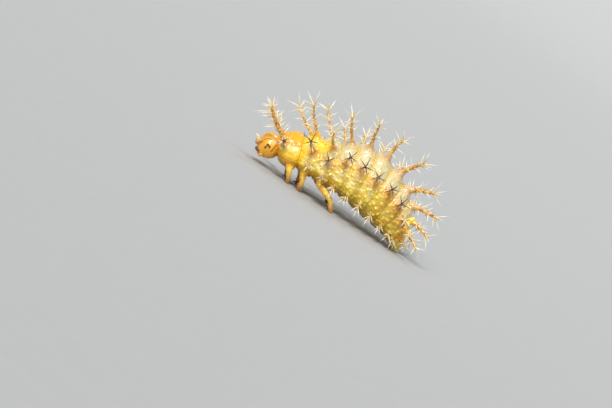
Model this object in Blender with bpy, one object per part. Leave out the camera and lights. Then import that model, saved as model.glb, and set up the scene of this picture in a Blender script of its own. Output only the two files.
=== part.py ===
"""Full grown larva of a leaf-eating ladybird beetle, life size, with branched spines.

The head points along -X, the tail along +X, the larva's left side along -Y, and its feet stand at z = 0.
"""
import math
import random

import bmesh
import bpy
import numpy as np
from mathutils import Vector
from mathutils.bvhtree import BVHTree

for item in list(bpy.data.objects):
    bpy.data.objects.remove(item, do_unlink=True)

# Sizes are in millimetres and angles in degrees; meshes are brought to metres when they are made
MM = 0.001
GAP = 0.04
TAIL_X = 3.93
SEED = 2716

# Body segments from neck to tail: back length and slope, belly length and slope,
# half width at the rear joint, height of the lobe along its middle
NECK_BACK = (-7.28, 1.50)
NECK_BELLY = (-6.92, 0.76)
NECK_HALF_WIDTH = 0.52
SEGMENTS = (
    ("prothorax", 1.15, 36, 0.97, 0, 0.98, 0.26),
    ("mesothorax", 0.96, 25, 0.85, 1, 1.20, 0.09),
    ("metathorax", 0.75, 25, 0.75, 2, 1.36, 0.09),
    ("abdomen_1", 0.84, 26, 0.65, 0, 1.46, 0.10),
    ("abdomen_2", 0.90, 9, 0.70, -5, 1.50, 0.10),
    ("abdomen_3", 0.94, -10, 0.63, -7, 1.46, 0.10),
    ("abdomen_4", 0.91, -22, 0.65, -10, 1.34, 0.10),
    ("abdomen_5", 0.82, -34, 0.63, -8, 1.14, 0.09),
    ("abdomen_6", 0.74, -50, 0.42, -17, 0.91, 0.07),
    ("abdomen_7", 0.60, -66, 0.24, -22, 0.69, 0.06),
    ("abdomen_8", 0.52, -74, 0.16, -30, 0.49, 0.05),
    ("abdomen_tip", 0.40, -87, 0.13, -39, 0.33, 0.04),
)
ROLL = 6
AXIS_HEIGHT = 0.38
BELLY_FLATNESS = 0.78
AROUND = 20
ALONG = (0.0, 0.12, 0.34, 0.5, 0.66, 0.88, 1.0)
CREASE = 0.07

# Tail foot, the soft sucker that holds the floor
FOOT_LENGTH = 0.46
FOOT_WIDTH = 0.42

# Head
HEAD_HALF_LENGTH = 0.58
HEAD_HALF_HEIGHT = 0.60
HEAD_HALF_WIDTH = 0.60
NECK_OPENING = 0.44
HEAD_RINGS = 9

# Branched spines of each segment: place round the body on the left and the right, measured from
# the middle of the back, length, heading in side view, and how far the left and right ones splay
BACK_SPINES = {
    "mesothorax": (18, 26, 1.50, 130, 14, 26),
    "metathorax": (46, 28, 1.38, 124, 52, 20),
    "abdomen_1": (26, 44, 1.32, 124, 22, 60),
    "abdomen_2": (25, 44, 1.22, 103, 20, 60),
    "abdomen_3": (25, 44, 1.24, 86, 22, 60),
    "abdomen_4": (26, 44, 1.28, 58, 24, 60),
    "abdomen_5": (27, 44, 1.16, 29, 24, 58),
    "abdomen_6": (29, 42, 1.20, 10, 25, 54),
    "abdomen_7": (33, 40, 1.04, -14, 30, 46),
    "abdomen_8": (40, 42, 0.84, -34, 40, 46),
}
# Two of the right back spines: part of the segment's length, further turn towards the head
RIGHT_BACK = {"mesothorax": (0.36, 16), "metathorax": (0.50, 8)}
SIDE_SPINES = {
    "mesothorax": (62, 78, 1.28, 142, 63, 80),
    "metathorax": (78, 76, 1.28, 130, 78, 74),
    "abdomen_1": (72, 74, 1.26, 99, 69, 72),
    "abdomen_2": (73, 74, 1.26, 103, 76, 76),
    "abdomen_3": (75, 74, 1.26, 114, 74, 76),
    "abdomen_4": (70, 74, 1.24, 112, 76, 76),
    "abdomen_5": (71, 74, 1.18, 108, 79, 76),
    "abdomen_6": (73, 76, 1.10, 110, 83, 74),
    "abdomen_7": (76, 78, 0.92, 20, 74, 70),
    "abdomen_8": (80, 82, 0.70, -24, 66, 66),
}
EDGE_SPINES = {
    "mesothorax": (102, 102, 0.62, 150, 80, 80),
    "metathorax": (112, 110, 0.60, -150, 74, 76),
    "abdomen_1": (126, 120, 0.60, -122, 62, 70),
    "abdomen_2": (128, 120, 0.60, -116, 62, 70),
    "abdomen_3": (128, 120, 0.60, -108, 62, 70),
    "abdomen_4": (128, 120, 0.60, -104, 62, 70),
    "abdomen_5": (126, 118, 0.56, -98, 64, 70),
    "abdomen_6": (122, 116, 0.52, -92, 66, 72),
    "abdomen_7": (118, 114, 0.44, -78, 70, 74),
    "abdomen_8": (114, 112, 0.36, -66, 72, 76),
}
COLLAR_SPINES = {
    "inner": (46, 50, 1.82, 143, 16, 40),
    "outer": (68, 74, 0.84, 122, 66, 64),
}
COLLAR_PLACE = 0.24
COLLAR_FULLNESS = 0.45
LOBE_FULLNESS = 0.8
STEM_ROOT = 0.26
STEM_MIDDLE = 0.17
STEM_TOP = 0.10
STEM_SIDES = 5
SUNK = 0.28
MOUND = 0.13
MOUND_WIDTH = 0.26
# Side thorns of a branched spine: part of the stem, length, turn from the stem, thickness at the root
THORN_PARTS = (0.30, 0.47, 0.63, 0.80)
THORN_LENGTH = 0.46
THORN_TURN = 54
THORN_ROOT = 0.085
CROWN_COUNT = 4
CROWN_LENGTH = 0.58
CROWN_TURN = 58
THORN_SIDES = 3
SPIRAL = 137.5
FLOOR_ROOM = 0.10


def pair(length, slope):
    """Step in the X and Z directions for a length and a slope."""
    return length * math.cos(math.radians(slope)), length * math.sin(math.radians(slope))


def joints():
    """Back points, belly points and half widths at the joints between segments."""
    back, belly, width = [NECK_BACK], [NECK_BELLY], [NECK_HALF_WIDTH]
    for _, back_length, back_slope, belly_length, belly_slope, half, _ in SEGMENTS:
        dx, dz = pair(back_length, back_slope)
        back.append((back[-1][0] + dx, back[-1][1] + dz))
        dx, dz = pair(belly_length, belly_slope)
        belly.append((belly[-1][0] + dx, belly[-1][1] + dz))
        width.append(half)
    return np.array(back), np.array(belly), np.array(width)


BACK, BELLY, WIDTH = joints()
NAMES = [row[0] for row in SEGMENTS]
LOBE = [row[6] for row in SEGMENTS]


def between(values, index, t):
    """Smooth curve through the joint values, at part t of the segment."""
    last = len(values) - 1
    before = values[max(index - 1, 0)]
    start, end = values[index], values[index + 1]
    after = values[min(index + 2, last)]
    slope_in, slope_out = (end - before) / 2, (after - start) / 2
    a = 2 * t ** 3 - 3 * t ** 2 + 1
    b = t ** 3 - 2 * t ** 2 + t
    c = -2 * t ** 3 + 3 * t ** 2
    d = t ** 3 - t ** 2
    return a * start + b * slope_in + c * end + d * slope_out


def spine_rows(name, left):
    """Angle and length of each spine on one side of a segment."""
    rows = []
    for table in (BACK_SPINES, SIDE_SPINES, EDGE_SPINES):
        if name in table:
            rows.append((table[name][0 if left else 1], table[name][2]))
    return rows


def roll(index, t):
    """How far the body is turned about its length, away from its left side."""
    return math.radians(ROLL) * math.sin(math.pi * (index + t) / len(SEGMENTS)) ** 1.5


def surface(index, t, degrees):
    """Point of the skin: segment, part of its length, angle from the back towards the left side."""
    back, belly = between(BACK, index, t), between(BELLY, index, t)
    half = between(WIDTH, index, t)
    middle = belly + AXIS_HEIGHT * (back - belly)
    phi = math.radians(degrees)
    rise = math.cos(phi)
    if rise >= 0:
        point = middle + (back - middle) * rise
    else:
        point = middle + (belly - middle) * abs(rise) ** BELLY_FLATNESS
    side = -half * math.sin(phi)
    spot = np.array((point[0], side, point[1]))
    centre = np.array((middle[0], 0.0, middle[1]))
    up = np.array((back[0] - belly[0], 0.0, back[1] - belly[1]))
    up /= np.linalg.norm(up)
    turn = roll(index, t)
    height, across = (spot - centre) @ up, side
    side = across * math.cos(turn) + height * math.sin(turn)
    height = height * math.cos(turn) - across * math.sin(turn)
    spot = centre + up * height + np.array((0.0, side, 0.0))
    fullness = LOBE_FULLNESS if index else COLLAR_FULLNESS
    swell = LOBE[index] * math.sin(math.pi * t) ** fullness - CREASE * abs(2 * t - 1) ** 4
    angle = (degrees + 180) % 360 - 180
    for at, length in spine_rows(NAMES[index], angle > 0):
        near = math.exp(-((math.radians(abs(angle) - at) / MOUND_WIDTH) ** 2) - ((t - 0.5) / 0.24) ** 2)
        swell += MOUND * min(length, 1.2) * near
    out = spot - centre
    return spot + out / np.linalg.norm(out) * swell


def outward(index, t, degrees):
    """Direction straight out of the skin at a point, without its mounds."""
    ahead, behind = surface(index, min(t + 0.06, 1), degrees), surface(index, max(t - 0.06, 0), degrees)
    left, right = surface(index, t, degrees + 5), surface(index, t, degrees - 5)
    normal = np.cross(ahead - behind, left - right)
    normal /= np.linalg.norm(normal)
    back, belly = between(BACK, index, t), between(BELLY, index, t)
    middle = belly + AXIS_HEIGHT * (back - belly)
    away = surface(index, t, degrees) - np.array((middle[0], 0.0, middle[1]))
    return normal if normal @ away > 0 else -normal


def joint_normal(index):
    """Direction towards the tail, square to the joint in front of a segment."""
    up = BACK[index] - BELLY[index]
    up = up / np.linalg.norm(up)
    return np.array((up[1], 0.0, -up[0]))


def closed_tube(rings):
    """Vertices and faces of a tube through equal rings, closed by flat ends."""
    count = len(rings[0])
    verts = [tuple(point) for ring in rings for point in ring]
    faces = []
    for row in range(len(rings) - 1):
        for k in range(count):
            a, b = row * count + k, row * count + (k + 1) % count
            faces.append((a, b, b + count, a + count))
    faces.append(tuple(reversed(range(count))))
    faces.append(tuple(range((len(rings) - 1) * count, len(rings) * count)))
    return verts, faces


def frame_of(direction):
    """Two directions square to a given one."""
    direction = direction / np.linalg.norm(direction)
    helper = np.array((0.0, 0.0, 1.0)) if abs(direction[2]) < 0.8 else np.array((0.0, 1.0, 0.0))
    first = np.cross(helper, direction)
    first /= np.linalg.norm(first)
    return first, np.cross(direction, first)


def ring(centre, direction, radius, sides, turn=0.0):
    """Round ring of points square to a direction."""
    first, second = frame_of(np.asarray(direction, float))
    points = []
    for k in range(sides):
        angle = turn + 2 * math.pi * k / sides
        points.append(np.asarray(centre) + radius * (math.cos(angle) * first + math.sin(angle) * second))
    return points


def limb(path, radii, sides, facing=None):
    """Closed tube along a path of points, with a radius at each and no twist."""
    path = [np.asarray(point, float) for point in path]
    rings = []
    first = None
    for k, point in enumerate(path):
        start, end = path[max(k - 1, 0)], path[min(k + 1, len(path) - 1)]
        along = end - start
        if facing is not None and facing[k] is not None:
            along = np.asarray(facing[k], float)
        along = along / np.linalg.norm(along)
        if first is None:
            first, _ = frame_of(along)
        first = first - along * (first @ along)
        first /= np.linalg.norm(first)
        second = np.cross(along, first)
        points = []
        for step in range(sides):
            angle = 2 * math.pi * step / sides
            points.append(point + radii[k] * (math.cos(angle) * first + math.sin(angle) * second))
        rings.append(points)
    return closed_tube(rings)


def spike(root, tip, radius, sides):
    """Closed cone from a root to a point."""
    verts = [tuple(point) for point in ring(root, tip - root, radius, sides)]
    verts.append(tuple(tip))
    faces = [(k, (k + 1) % sides, sides) for k in range(sides)]
    faces.append(tuple(reversed(range(sides))))
    return verts, faces


def new_mesh(name, verts, faces):
    """Mesh in millimetres with its faces turned outwards."""
    mesh = bpy.data.meshes.new(name)
    mesh.from_pydata([tuple(float(value) for value in vert) for vert in verts], [], faces)
    work = bmesh.new()
    work.from_mesh(mesh)
    bmesh.ops.recalc_face_normals(work, faces=work.faces)
    work.to_mesh(mesh)
    work.free()
    mesh.update()
    return mesh


def joined(name, base, pieces):
    """Mesh of a base with its pieces joined by one union, and only its largest surface kept."""
    group = bpy.data.collections.new(name + "_pieces")
    bpy.context.scene.collection.children.link(group)
    for number, (verts, faces) in enumerate(pieces):
        piece = bpy.data.objects.new(name + "_piece_%d" % number, new_mesh(name, verts, faces))
        group.objects.link(piece)
    body = bpy.data.objects.new(name + "_base", new_mesh(name, *base))
    bpy.context.scene.collection.objects.link(body)
    union = body.modifiers.new("union", "BOOLEAN")
    union.operation = "UNION"
    union.operand_type = "COLLECTION"
    union.collection = group
    union.solver = "MANIFOLD"
    bpy.context.view_layer.update()
    result = body.evaluated_get(bpy.context.evaluated_depsgraph_get())
    mesh = bpy.data.meshes.new_from_object(result)
    for piece in list(group.objects):
        bpy.data.objects.remove(piece, do_unlink=True)
    bpy.data.collections.remove(group)
    bpy.data.objects.remove(body, do_unlink=True)
    work = bmesh.new()
    work.from_mesh(mesh)
    bmesh.ops.triangulate(work, faces=work.faces)
    keep_largest(work)
    work.to_mesh(mesh)
    work.free()
    return mesh


def keep_largest(work):
    """Removes every loose surface but the largest."""
    left = set(work.verts)
    shells = []
    while left:
        stack = [left.pop()]
        shell = set(stack)
        while stack:
            for edge in stack.pop().link_edges:
                for vert in edge.verts:
                    if vert in left:
                        left.discard(vert)
                        shell.add(vert)
                        stack.append(vert)
        shells.append(shell)
    shells.sort(key=len, reverse=True)
    for shell in shells[1:]:
        bmesh.ops.delete(work, geom=list(shell), context="VERTS")


def place(name, mesh, colour, roughness):
    """Named object in metres with its own material."""
    mesh.name = name
    for vert in mesh.vertices:
        vert.co = Vector((vert.co.x + TAIL_X, vert.co.y, vert.co.z)) * MM
    for polygon in mesh.polygons:
        polygon.use_smooth = True
    part = bpy.data.objects.new(name, mesh)
    bpy.context.scene.collection.objects.link(part)
    material = bpy.data.materials.new(name)
    material.use_nodes = True
    shader = material.node_tree.nodes["Principled BSDF"]
    shader.inputs["Base Color"].default_value = (*colour, 1.0)
    shader.inputs["Roughness"].default_value = roughness
    mesh.materials.clear()
    mesh.materials.append(material)
    return part


def segment_mesh(index):
    """Closed lobe of one body segment, clear of its neighbours by the gap."""
    rings = []
    for t in ALONG:
        points = [surface(index, t, 360 * k / AROUND) for k in range(AROUND)]
        if t == 0.0:
            points = [point + joint_normal(index) * GAP / 2 for point in points]
        if t == 1.0:
            points = [point - joint_normal(index + 1) * GAP / 2 for point in points]
        rings.append(points)
    return closed_tube(rings)


def pointing(heading, splay, side):
    """Direction from a heading in side view and a splay to the left (1) or the right (-1)."""
    flat = math.cos(math.radians(splay))
    x, z = pair(flat, heading)
    return np.array((x, -side * math.sin(math.radians(splay)), z))


def across_segment(index, degrees):
    """Length of a segment, joint to joint, at an angle round the body."""
    return np.linalg.norm(surface(index, 1.0, degrees) - surface(index, 0.0, degrees))


def plain_spine(root, direction, length, girth=1.0):
    """Tapered stem of a spine, from inside the skin to its top."""
    direction = direction / np.linalg.norm(direction)
    steps = (
        (-SUNK * girth, STEM_ROOT * 0.7),
        (0.04, STEM_ROOT),
        (0.4 * length, STEM_MIDDLE),
        (length, STEM_TOP),
    )
    rings = [ring(root + direction * along, direction, radius * girth, STEM_SIDES) for along, radius in steps]
    return closed_tube(rings)


rng = random.Random(SEED)
ORANGE = (0.80, 0.33, 0.04)
GOLD = (0.80, 0.50, 0.10)
CREAM = (0.82, 0.72, 0.42)
PALE = (0.85, 0.62, 0.25)
BROWN = (0.20, 0.08, 0.03)
BLACK = (0.02, 0.015, 0.012)


def spine_places():
    """Every branched spine: segment, root, direction, length and girth."""
    rows = [("prothorax", row, COLLAR_PLACE, COLLAR_PLACE, 0) for row in COLLAR_SPINES.values()]
    for name in NAMES:
        for table in (BACK_SPINES, SIDE_SPINES, EDGE_SPINES):
            if name in table:
                right_place, further = RIGHT_BACK.get(name, (0.5, 0)) if table is BACK_SPINES else (0.5, 0)
                rows.append((name, table[name], 0.5, right_place, further))
    places = []
    for name, row, left_place, right_place, further in rows:
        left, right, length, heading, splay_left, splay_right = row
        number = NAMES.index(name)
        for side, t, at, splay, aim in ((1, left_place, left, splay_left, heading),
                                        (-1, right_place, -right, splay_right, heading + further)):
            direction = pointing(aim + rng.uniform(-3, 3), splay + rng.uniform(-2, 2), side)
            girth = min(1.0, across_segment(number, at) * 0.33 / STEM_ROOT)
            places.append((name, surface(number, t, at), direction, length * rng.uniform(0.97, 1.03), girth))
    return places


SPINES = spine_places()
TAKEN = [(row[0], row[1], row[1] + row[2] * row[3], STEM_ROOT * row[4]) for row in SPINES]
BODIES = {}
for number, name in enumerate(NAMES[:-1]):
    verts, faces = segment_mesh(number)
    BODIES[name] = BVHTree.FromPolygons([Vector(vert) for vert in verts], faces)


def span(point, start, end):
    """Distance from a point to a straight piece."""
    line = end - start
    part = min(max((point - start) @ line / (line @ line), 0.0), 1.0)
    return np.linalg.norm(point - start - line * part)


def room(name, root, tip):
    """Whether a thorn stays clear of the floor and of every other node."""
    if tip[2] < FLOOR_ROOM:
        return False
    for part in (0.4, 0.7, 1.0):
        point = root + (tip - root) * part
        for owner, start, end, thick in TAKEN:
            if owner != name and span(point, start, end) < thick + THORN_ROOT * (1 - part) + GAP:
                return False
        for owner, tree in BODIES.items():
            if owner == name:
                continue
            spot, normal, _, _ = tree.find_nearest(Vector(point))
            if (Vector(point) - spot).dot(normal) < GAP and (Vector(point) - spot).length < 0.6:
                return False
    return True


def thorns(name, root, direction, length, girth):
    """Thorns up a stem in a spiral and the crown of thorns at its top."""
    first, second = frame_of(direction)
    start = rng.uniform(0, 360)
    rows = [(part, THORN_LENGTH, THORN_TURN, SPIRAL * k) for k, part in enumerate(THORN_PARTS)]
    rows += [(0.97, CROWN_LENGTH, CROWN_TURN, 360 * k / CROWN_COUNT) for k in range(CROWN_COUNT)]
    if length < 0.85:
        rows = rows[1:4:2] + rows[4:7]
    if length < 0.50:
        rows = []
    pieces = []
    for part, size, turn, around in rows:
        spin = math.radians(start + around + rng.uniform(-12, 12))
        lean = math.radians(turn + rng.uniform(-8, 8))
        side = first * math.cos(spin) + second * math.sin(spin)
        out = direction * math.cos(lean) + side * math.sin(lean)
        foot = root + direction * length * part
        size *= rng.uniform(0.85, 1.15) * (0.45 + 0.55 * min(length / 1.3, 1.0))
        for shrink in (1.0, 0.75, 0.5):
            tip = foot + out * size * shrink
            if room(name, foot, tip):
                pieces.append(spike(foot - out * 0.02, tip, THORN_ROOT * (0.6 + 0.4 * girth), THORN_SIDES))
                TAKEN.append((name, foot, tip, THORN_ROOT * 0.6))
                break
    return pieces


for number, name in enumerate(NAMES[:-1]):
    pieces = []
    for owner, root, direction, length, girth in SPINES:
        if owner == name:
            pieces.append(plain_spine(root, direction, length, girth))
            pieces.extend(thorns(name, root, direction, length, girth))
    colour = ORANGE if number == 0 else GOLD if number < 3 or number > 7 else CREAM
    place(name, joined(name, segment_mesh(number), pieces), colour, 0.4)


def tail_mesh():
    """Last segments, narrowing to the soft foot that stands on the floor."""
    index = len(NAMES) - 1
    rings = []
    for t in (0.0, 0.12, 0.35, 0.6):
        points = [surface(index, t, 360 * k / AROUND) for k in range(AROUND)]
        if t == 0.0:
            points = [point + joint_normal(index) * GAP / 2 for point in points]
        rings.append(points)
    centre = (BACK[-1] + BELLY[-1]) / 2
    for height, grow in ((0.10, 1.0), (0.03, 1.06), (0.0, 0.96)):
        points = []
        for k in range(AROUND):
            phi = 2 * math.pi * k / AROUND
            x = centre[0] + grow * FOOT_LENGTH / 2 * math.cos(phi)
            y = -grow * FOOT_WIDTH / 2 * math.sin(phi)
            points.append(np.array((x, y, height)))
        rings.append(points)
    return closed_tube(rings)


place("abdomen_tip", new_mesh("abdomen_tip", *tail_mesh()), GOLD, 0.4)

# Head, with its own axis square to the neck joint
HEAD_FORWARD = -joint_normal(0)
HEAD_UP = np.array((HEAD_FORWARD[2], 0.0, -HEAD_FORWARD[0]))
NECK_CENTRE = np.array(((NECK_BACK[0] + NECK_BELLY[0]) / 2, 0.0, (NECK_BACK[1] + NECK_BELLY[1]) / 2))
NECK_REACH = HEAD_HALF_LENGTH * math.sqrt(1 - (NECK_OPENING / HEAD_HALF_HEIGHT) ** 2)
HEAD_CENTRE = NECK_CENTRE + HEAD_FORWARD * (NECK_REACH + GAP / 2)


def head_point(forward_degrees, degrees, lift=0.0):
    """Point of the head: angle from its front pole, angle about its axis from the top to the left."""
    polar, phi = math.radians(forward_degrees), math.radians(degrees)
    along = (HEAD_HALF_LENGTH + lift) * math.cos(polar)
    up = (HEAD_HALF_HEIGHT + lift) * math.sin(polar) * math.cos(phi)
    side = -(HEAD_HALF_WIDTH + lift) * math.sin(polar) * math.sin(phi)
    return HEAD_CENTRE + HEAD_FORWARD * along + HEAD_UP * up + np.array((0.0, side, 0.0))


def head_mesh():
    """Rounded head capsule, cut flat at the neck."""
    last = math.degrees(math.acos(-NECK_REACH / HEAD_HALF_LENGTH))
    rings = []
    for row in range(HEAD_RINGS):
        polar = 8 + (last - 8) * row / (HEAD_RINGS - 1)
        rings.append([head_point(polar, 360 * k / AROUND) for k in range(AROUND)])
    return closed_tube(rings)


place("head", new_mesh("head", *head_mesh()), ORANGE, 0.3)

# Feelers, simple eyes and mouthparts: angle from the head's front pole and angle from its top
for side, word in ((1, "left"), (-1, "right")):
    root = head_point(48, side * 62, GAP)
    out = head_point(48, side * 62, 1.0) - head_point(48, side * 62, 0.0)
    out /= np.linalg.norm(out)
    path = (root, root + out * 0.12, root + out * 0.22 + HEAD_UP * 0.03, root + out * 0.36 + HEAD_UP * 0.08)
    place("feeler_" + word, new_mesh("feeler", *limb(path, (0.13, 0.12, 0.09, 0.04), 10)), PALE, 0.4)
    domes = []
    for polar, phi, size in ((78, 66, 0.075), (92, 72, 0.07), (84, 84, 0.07)):
        centre = head_point(polar, side * phi, GAP + 0.07)
        outer = head_point(polar, side * phi, GAP + 0.13)
        inner = head_point(polar, side * phi, GAP + 0.03)
        domes.append(limb((inner, centre, outer), (size * 1.2, size, size * 0.45), 8))
    middle = head_point(85, side * 75, GAP + 0.01)
    square = head_point(85, side * 75, 1.0) - middle
    pad = limb((middle, middle + square * 0.05), (0.17, 0.15), 14)
    place("eyes_" + word, joined("eyes", pad, domes), BLACK, 0.15)

    base = head_point(34, side * 128, GAP * 2)
    jaw = (base, base + HEAD_FORWARD * 0.10 + np.array((0, side * 0.03, 0)),
           base + HEAD_FORWARD * 0.20 + np.array((0, side * 0.10, 0)))
    place("jaw_" + word, new_mesh("jaw", *limb(jaw, (0.12, 0.10, 0.05), 8)), BROWN, 0.25)
    base = head_point(58, side * 140, GAP)
    out = head_point(58, side * 140, 1.0) - head_point(58, side * 140, 0.0)
    out /= np.linalg.norm(out)
    palp = (base, base + out * 0.10, base + out * 0.15 + HEAD_FORWARD * 0.12)
    place("palp_" + word, new_mesh("palp", *limb(palp, (0.11, 0.10, 0.06), 8)), PALE, 0.4)

LIP_SIDES = 10
lip = []
for lift, grow in ((GAP, 1.0), (GAP + 0.10, 0.85)):
    outline = []
    for k in range(LIP_SIDES):
        angle = 2 * math.pi * k / LIP_SIDES
        outline.append(head_point(24 + 8 * math.sin(angle) * grow, 50 * math.cos(angle) * grow, lift))
    lip.append(outline)
place("lip", new_mesh("lip", *closed_tube(lip)), PALE, 0.4)

# Legs: segment, part of its length, angle of the hip, knee and foot places
LEGS = (
    ("front", 0, 0.72, 140, (-6.16, 0.98, 0.56), (-5.92, 0.78)),
    ("middle", 1, 0.50, 142, (-5.44, 1.12, 0.56), (-5.34, 0.92)),
    ("hind", 2, 0.56, 146, (-3.92, 1.30, 0.50), (-3.58, 1.36)),
)
HIP = 0.22
KNEE = 0.20
ANKLE = 0.15
FLAT = 0.15
for word, index, t, angle, knee, foot in LEGS:
    for side, hand in ((1, "left"), (-1, "right")):
        out = outward(index, t, side * angle)
        hip = surface(index, t, side * angle) + out * GAP * 2
        bend = np.array((knee[0], -side * knee[1], knee[2]))
        toe = np.array((foot[0], -side * foot[1], 0.0))
        thigh = hip + out * 0.10
        along, down = bend - thigh, toe - bend
        mitre = along / np.linalg.norm(along) + down / np.linalg.norm(down)
        mitre /= np.linalg.norm(mitre)
        path = (hip, thigh, (thigh + bend) / 2, bend)
        femur = limb(path, (HIP, HIP, HIP, KNEE), 12, (out, None, None, mitre))
        place("femur_%s_%s" % (word, hand), new_mesh("femur", *femur), GOLD, 0.4)
        start = bend + mitre * GAP * 2
        path = (start, start * 0.7 + toe * 0.3, start * 0.3 + toe * 0.7, toe)
        facing = (mitre, None, None, (0.0, 0.0, -1.0))
        tibia = limb(path, (KNEE, KNEE * 0.95, ANKLE * 1.1, FLAT), 12, facing)
        place("tibia_%s_%s" % (word, hand), new_mesh("tibia", *tibia), PALE, 0.4)
        hook = np.array((-0.80, side * 0.60, 0.0))
        near = toe + hook * (FLAT + GAP * 2.2) + np.array((0.0, 0.0, 0.14))
        claw = (near, near + hook * 0.09 + np.array((0.0, 0.0, -0.01)), toe + hook * (FLAT + 0.23))
        claw = limb(claw, (0.06, 0.055, 0.03), 8, (hook, None, (0.0, 0.0, -1.0)))
        place("claw_%s_%s" % (word, hand), new_mesh("claw", *claw), BROWN, 0.25)
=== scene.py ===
"""Looks of a full grown larva of a leaf-eating ladybird beetle, life size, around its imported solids.

Shapes are worked out in millimetres, with the tail joint at x = 0, and brought to metres at the end.
A place on the body is counted in segments from the neck (0) to the tail (12), with an angle round
the body from the middle of its back, positive towards its left side.
"""
import math
import random
from collections import namedtuple

import bmesh
import bpy
import numpy as np
from mathutils import Matrix, Vector, noise
from mathutils.kdtree import KDTree


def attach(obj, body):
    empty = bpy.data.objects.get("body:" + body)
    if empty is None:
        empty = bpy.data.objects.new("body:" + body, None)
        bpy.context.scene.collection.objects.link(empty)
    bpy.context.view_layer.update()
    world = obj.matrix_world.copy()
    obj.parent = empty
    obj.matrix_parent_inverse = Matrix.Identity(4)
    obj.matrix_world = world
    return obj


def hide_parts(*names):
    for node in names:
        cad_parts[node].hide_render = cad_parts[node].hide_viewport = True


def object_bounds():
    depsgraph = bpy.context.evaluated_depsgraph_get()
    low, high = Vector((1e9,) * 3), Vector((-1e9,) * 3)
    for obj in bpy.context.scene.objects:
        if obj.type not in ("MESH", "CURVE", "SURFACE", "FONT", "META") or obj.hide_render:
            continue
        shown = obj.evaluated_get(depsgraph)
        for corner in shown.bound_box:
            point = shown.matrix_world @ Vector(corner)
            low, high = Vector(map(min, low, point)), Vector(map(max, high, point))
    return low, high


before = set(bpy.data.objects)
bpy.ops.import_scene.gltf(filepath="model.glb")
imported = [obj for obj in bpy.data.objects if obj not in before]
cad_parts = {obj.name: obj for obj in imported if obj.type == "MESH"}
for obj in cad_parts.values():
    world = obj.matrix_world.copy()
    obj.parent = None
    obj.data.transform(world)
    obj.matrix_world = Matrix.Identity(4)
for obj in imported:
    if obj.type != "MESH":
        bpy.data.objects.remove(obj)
CAD_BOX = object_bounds()

MM = 0.001
TAIL_X = 3.93
SEED = 2716

# Body segments from neck to tail: back length and slope, belly length and slope,
# half width at the rear joint, height of the lobe along its middle
NECK_BACK = (-7.28, 1.50)
NECK_BELLY = (-6.92, 0.76)
NECK_HALF_WIDTH = 0.52
SEGMENTS = (
    ("prothorax", 1.15, 36, 0.97, 0, 0.98, 0.26),
    ("mesothorax", 0.96, 25, 0.85, 1, 1.20, 0.09),
    ("metathorax", 0.75, 25, 0.75, 2, 1.36, 0.09),
    ("abdomen_1", 0.84, 26, 0.65, 0, 1.46, 0.10),
    ("abdomen_2", 0.90, 9, 0.70, -5, 1.50, 0.10),
    ("abdomen_3", 0.94, -10, 0.63, -7, 1.46, 0.10),
    ("abdomen_4", 0.91, -22, 0.65, -10, 1.34, 0.10),
    ("abdomen_5", 0.82, -34, 0.63, -8, 1.14, 0.09),
    ("abdomen_6", 0.74, -50, 0.42, -17, 0.91, 0.07),
    ("abdomen_7", 0.60, -66, 0.24, -22, 0.69, 0.06),
    ("abdomen_8", 0.52, -74, 0.16, -30, 0.49, 0.05),
    ("abdomen_tip", 0.40, -87, 0.13, -39, 0.33, 0.04),
)
NAMES = [row[0] for row in SEGMENTS]
COUNT = len(SEGMENTS)
ROLL = 6
AXIS_HEIGHT = 0.38
BELLY_FLATNESS = 0.78
CREASE = 0.05
LOBE_FULLNESS = 0.8
COLLAR_FULLNESS = 0.45
FOOT_LENGTH = 0.46
FOOT_WIDTH = 0.42

# Folds of the skin: depth and half width in segments at the joints, depth and half width in degrees
# of the grooves that run along the body, and the angles of those grooves
JOINT_FOLD = 0.035
JOINT_FOLD_WIDTH = 0.05
SIDE_GROOVE = 0.045
SIDE_GROOVE_WIDTH = 7
SIDE_GROOVES = (50, 98, 146)
FLANK_LOBE = 0.50
PLATE_EDGE = 60
PLATE_GROOVE = 0.045
PLATE_GROOVE_WIDTH = 5.0
MOUND = 0.12
MOUND_WIDTH = 0.26
MOUND_LENGTH = 0.24
EDGE_MOUND = 0.10
COLLAR_MOUND = 0.06

# Branched spines of each segment in the back, side and edge rows: angle of the left and the right one,
# length, heading in side view, and how far the left and right ones splay
SPINE_ROWS = {
    "mesothorax": ((18, 26, 1.50, 130, 14, 26), (62, 78, 1.28, 142, 63, 80),
                   (102, 102, 0.62, 150, 80, 80)),
    "metathorax": ((46, 28, 1.38, 124, 52, 20), (78, 76, 1.28, 130, 78, 74),
                   (112, 110, 0.60, -150, 74, 76)),
    "abdomen_1": ((26, 44, 1.32, 124, 22, 60), (72, 74, 1.26, 99, 69, 72),
                  (126, 120, 0.60, -122, 62, 70)),
    "abdomen_2": ((25, 44, 1.22, 103, 20, 60), (73, 74, 1.26, 103, 76, 76),
                  (128, 120, 0.60, -116, 62, 70)),
    "abdomen_3": ((25, 44, 1.24, 86, 22, 60), (75, 74, 1.26, 114, 74, 76),
                  (128, 120, 0.60, -108, 62, 70)),
    "abdomen_4": ((26, 44, 1.28, 58, 24, 60), (70, 74, 1.24, 112, 76, 76),
                  (128, 120, 0.60, -104, 62, 70)),
    "abdomen_5": ((27, 44, 1.16, 29, 24, 58), (71, 74, 1.18, 108, 79, 76),
                  (126, 118, 0.56, -98, 64, 70)),
    "abdomen_6": ((29, 42, 1.20, 10, 25, 54), (73, 76, 1.10, 110, 83, 74),
                  (122, 116, 0.52, -92, 66, 72)),
    "abdomen_7": ((33, 40, 1.04, -14, 30, 46), (76, 78, 0.92, 20, 74, 70),
                  (118, 114, 0.44, -78, 70, 74)),
    "abdomen_8": ((40, 42, 0.84, -34, 40, 46), (80, 82, 0.70, -24, 66, 66),
                  (114, 112, 0.36, -66, 72, 76)),
}
ROW_WORDS = ("back", "side", "edge")
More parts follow.
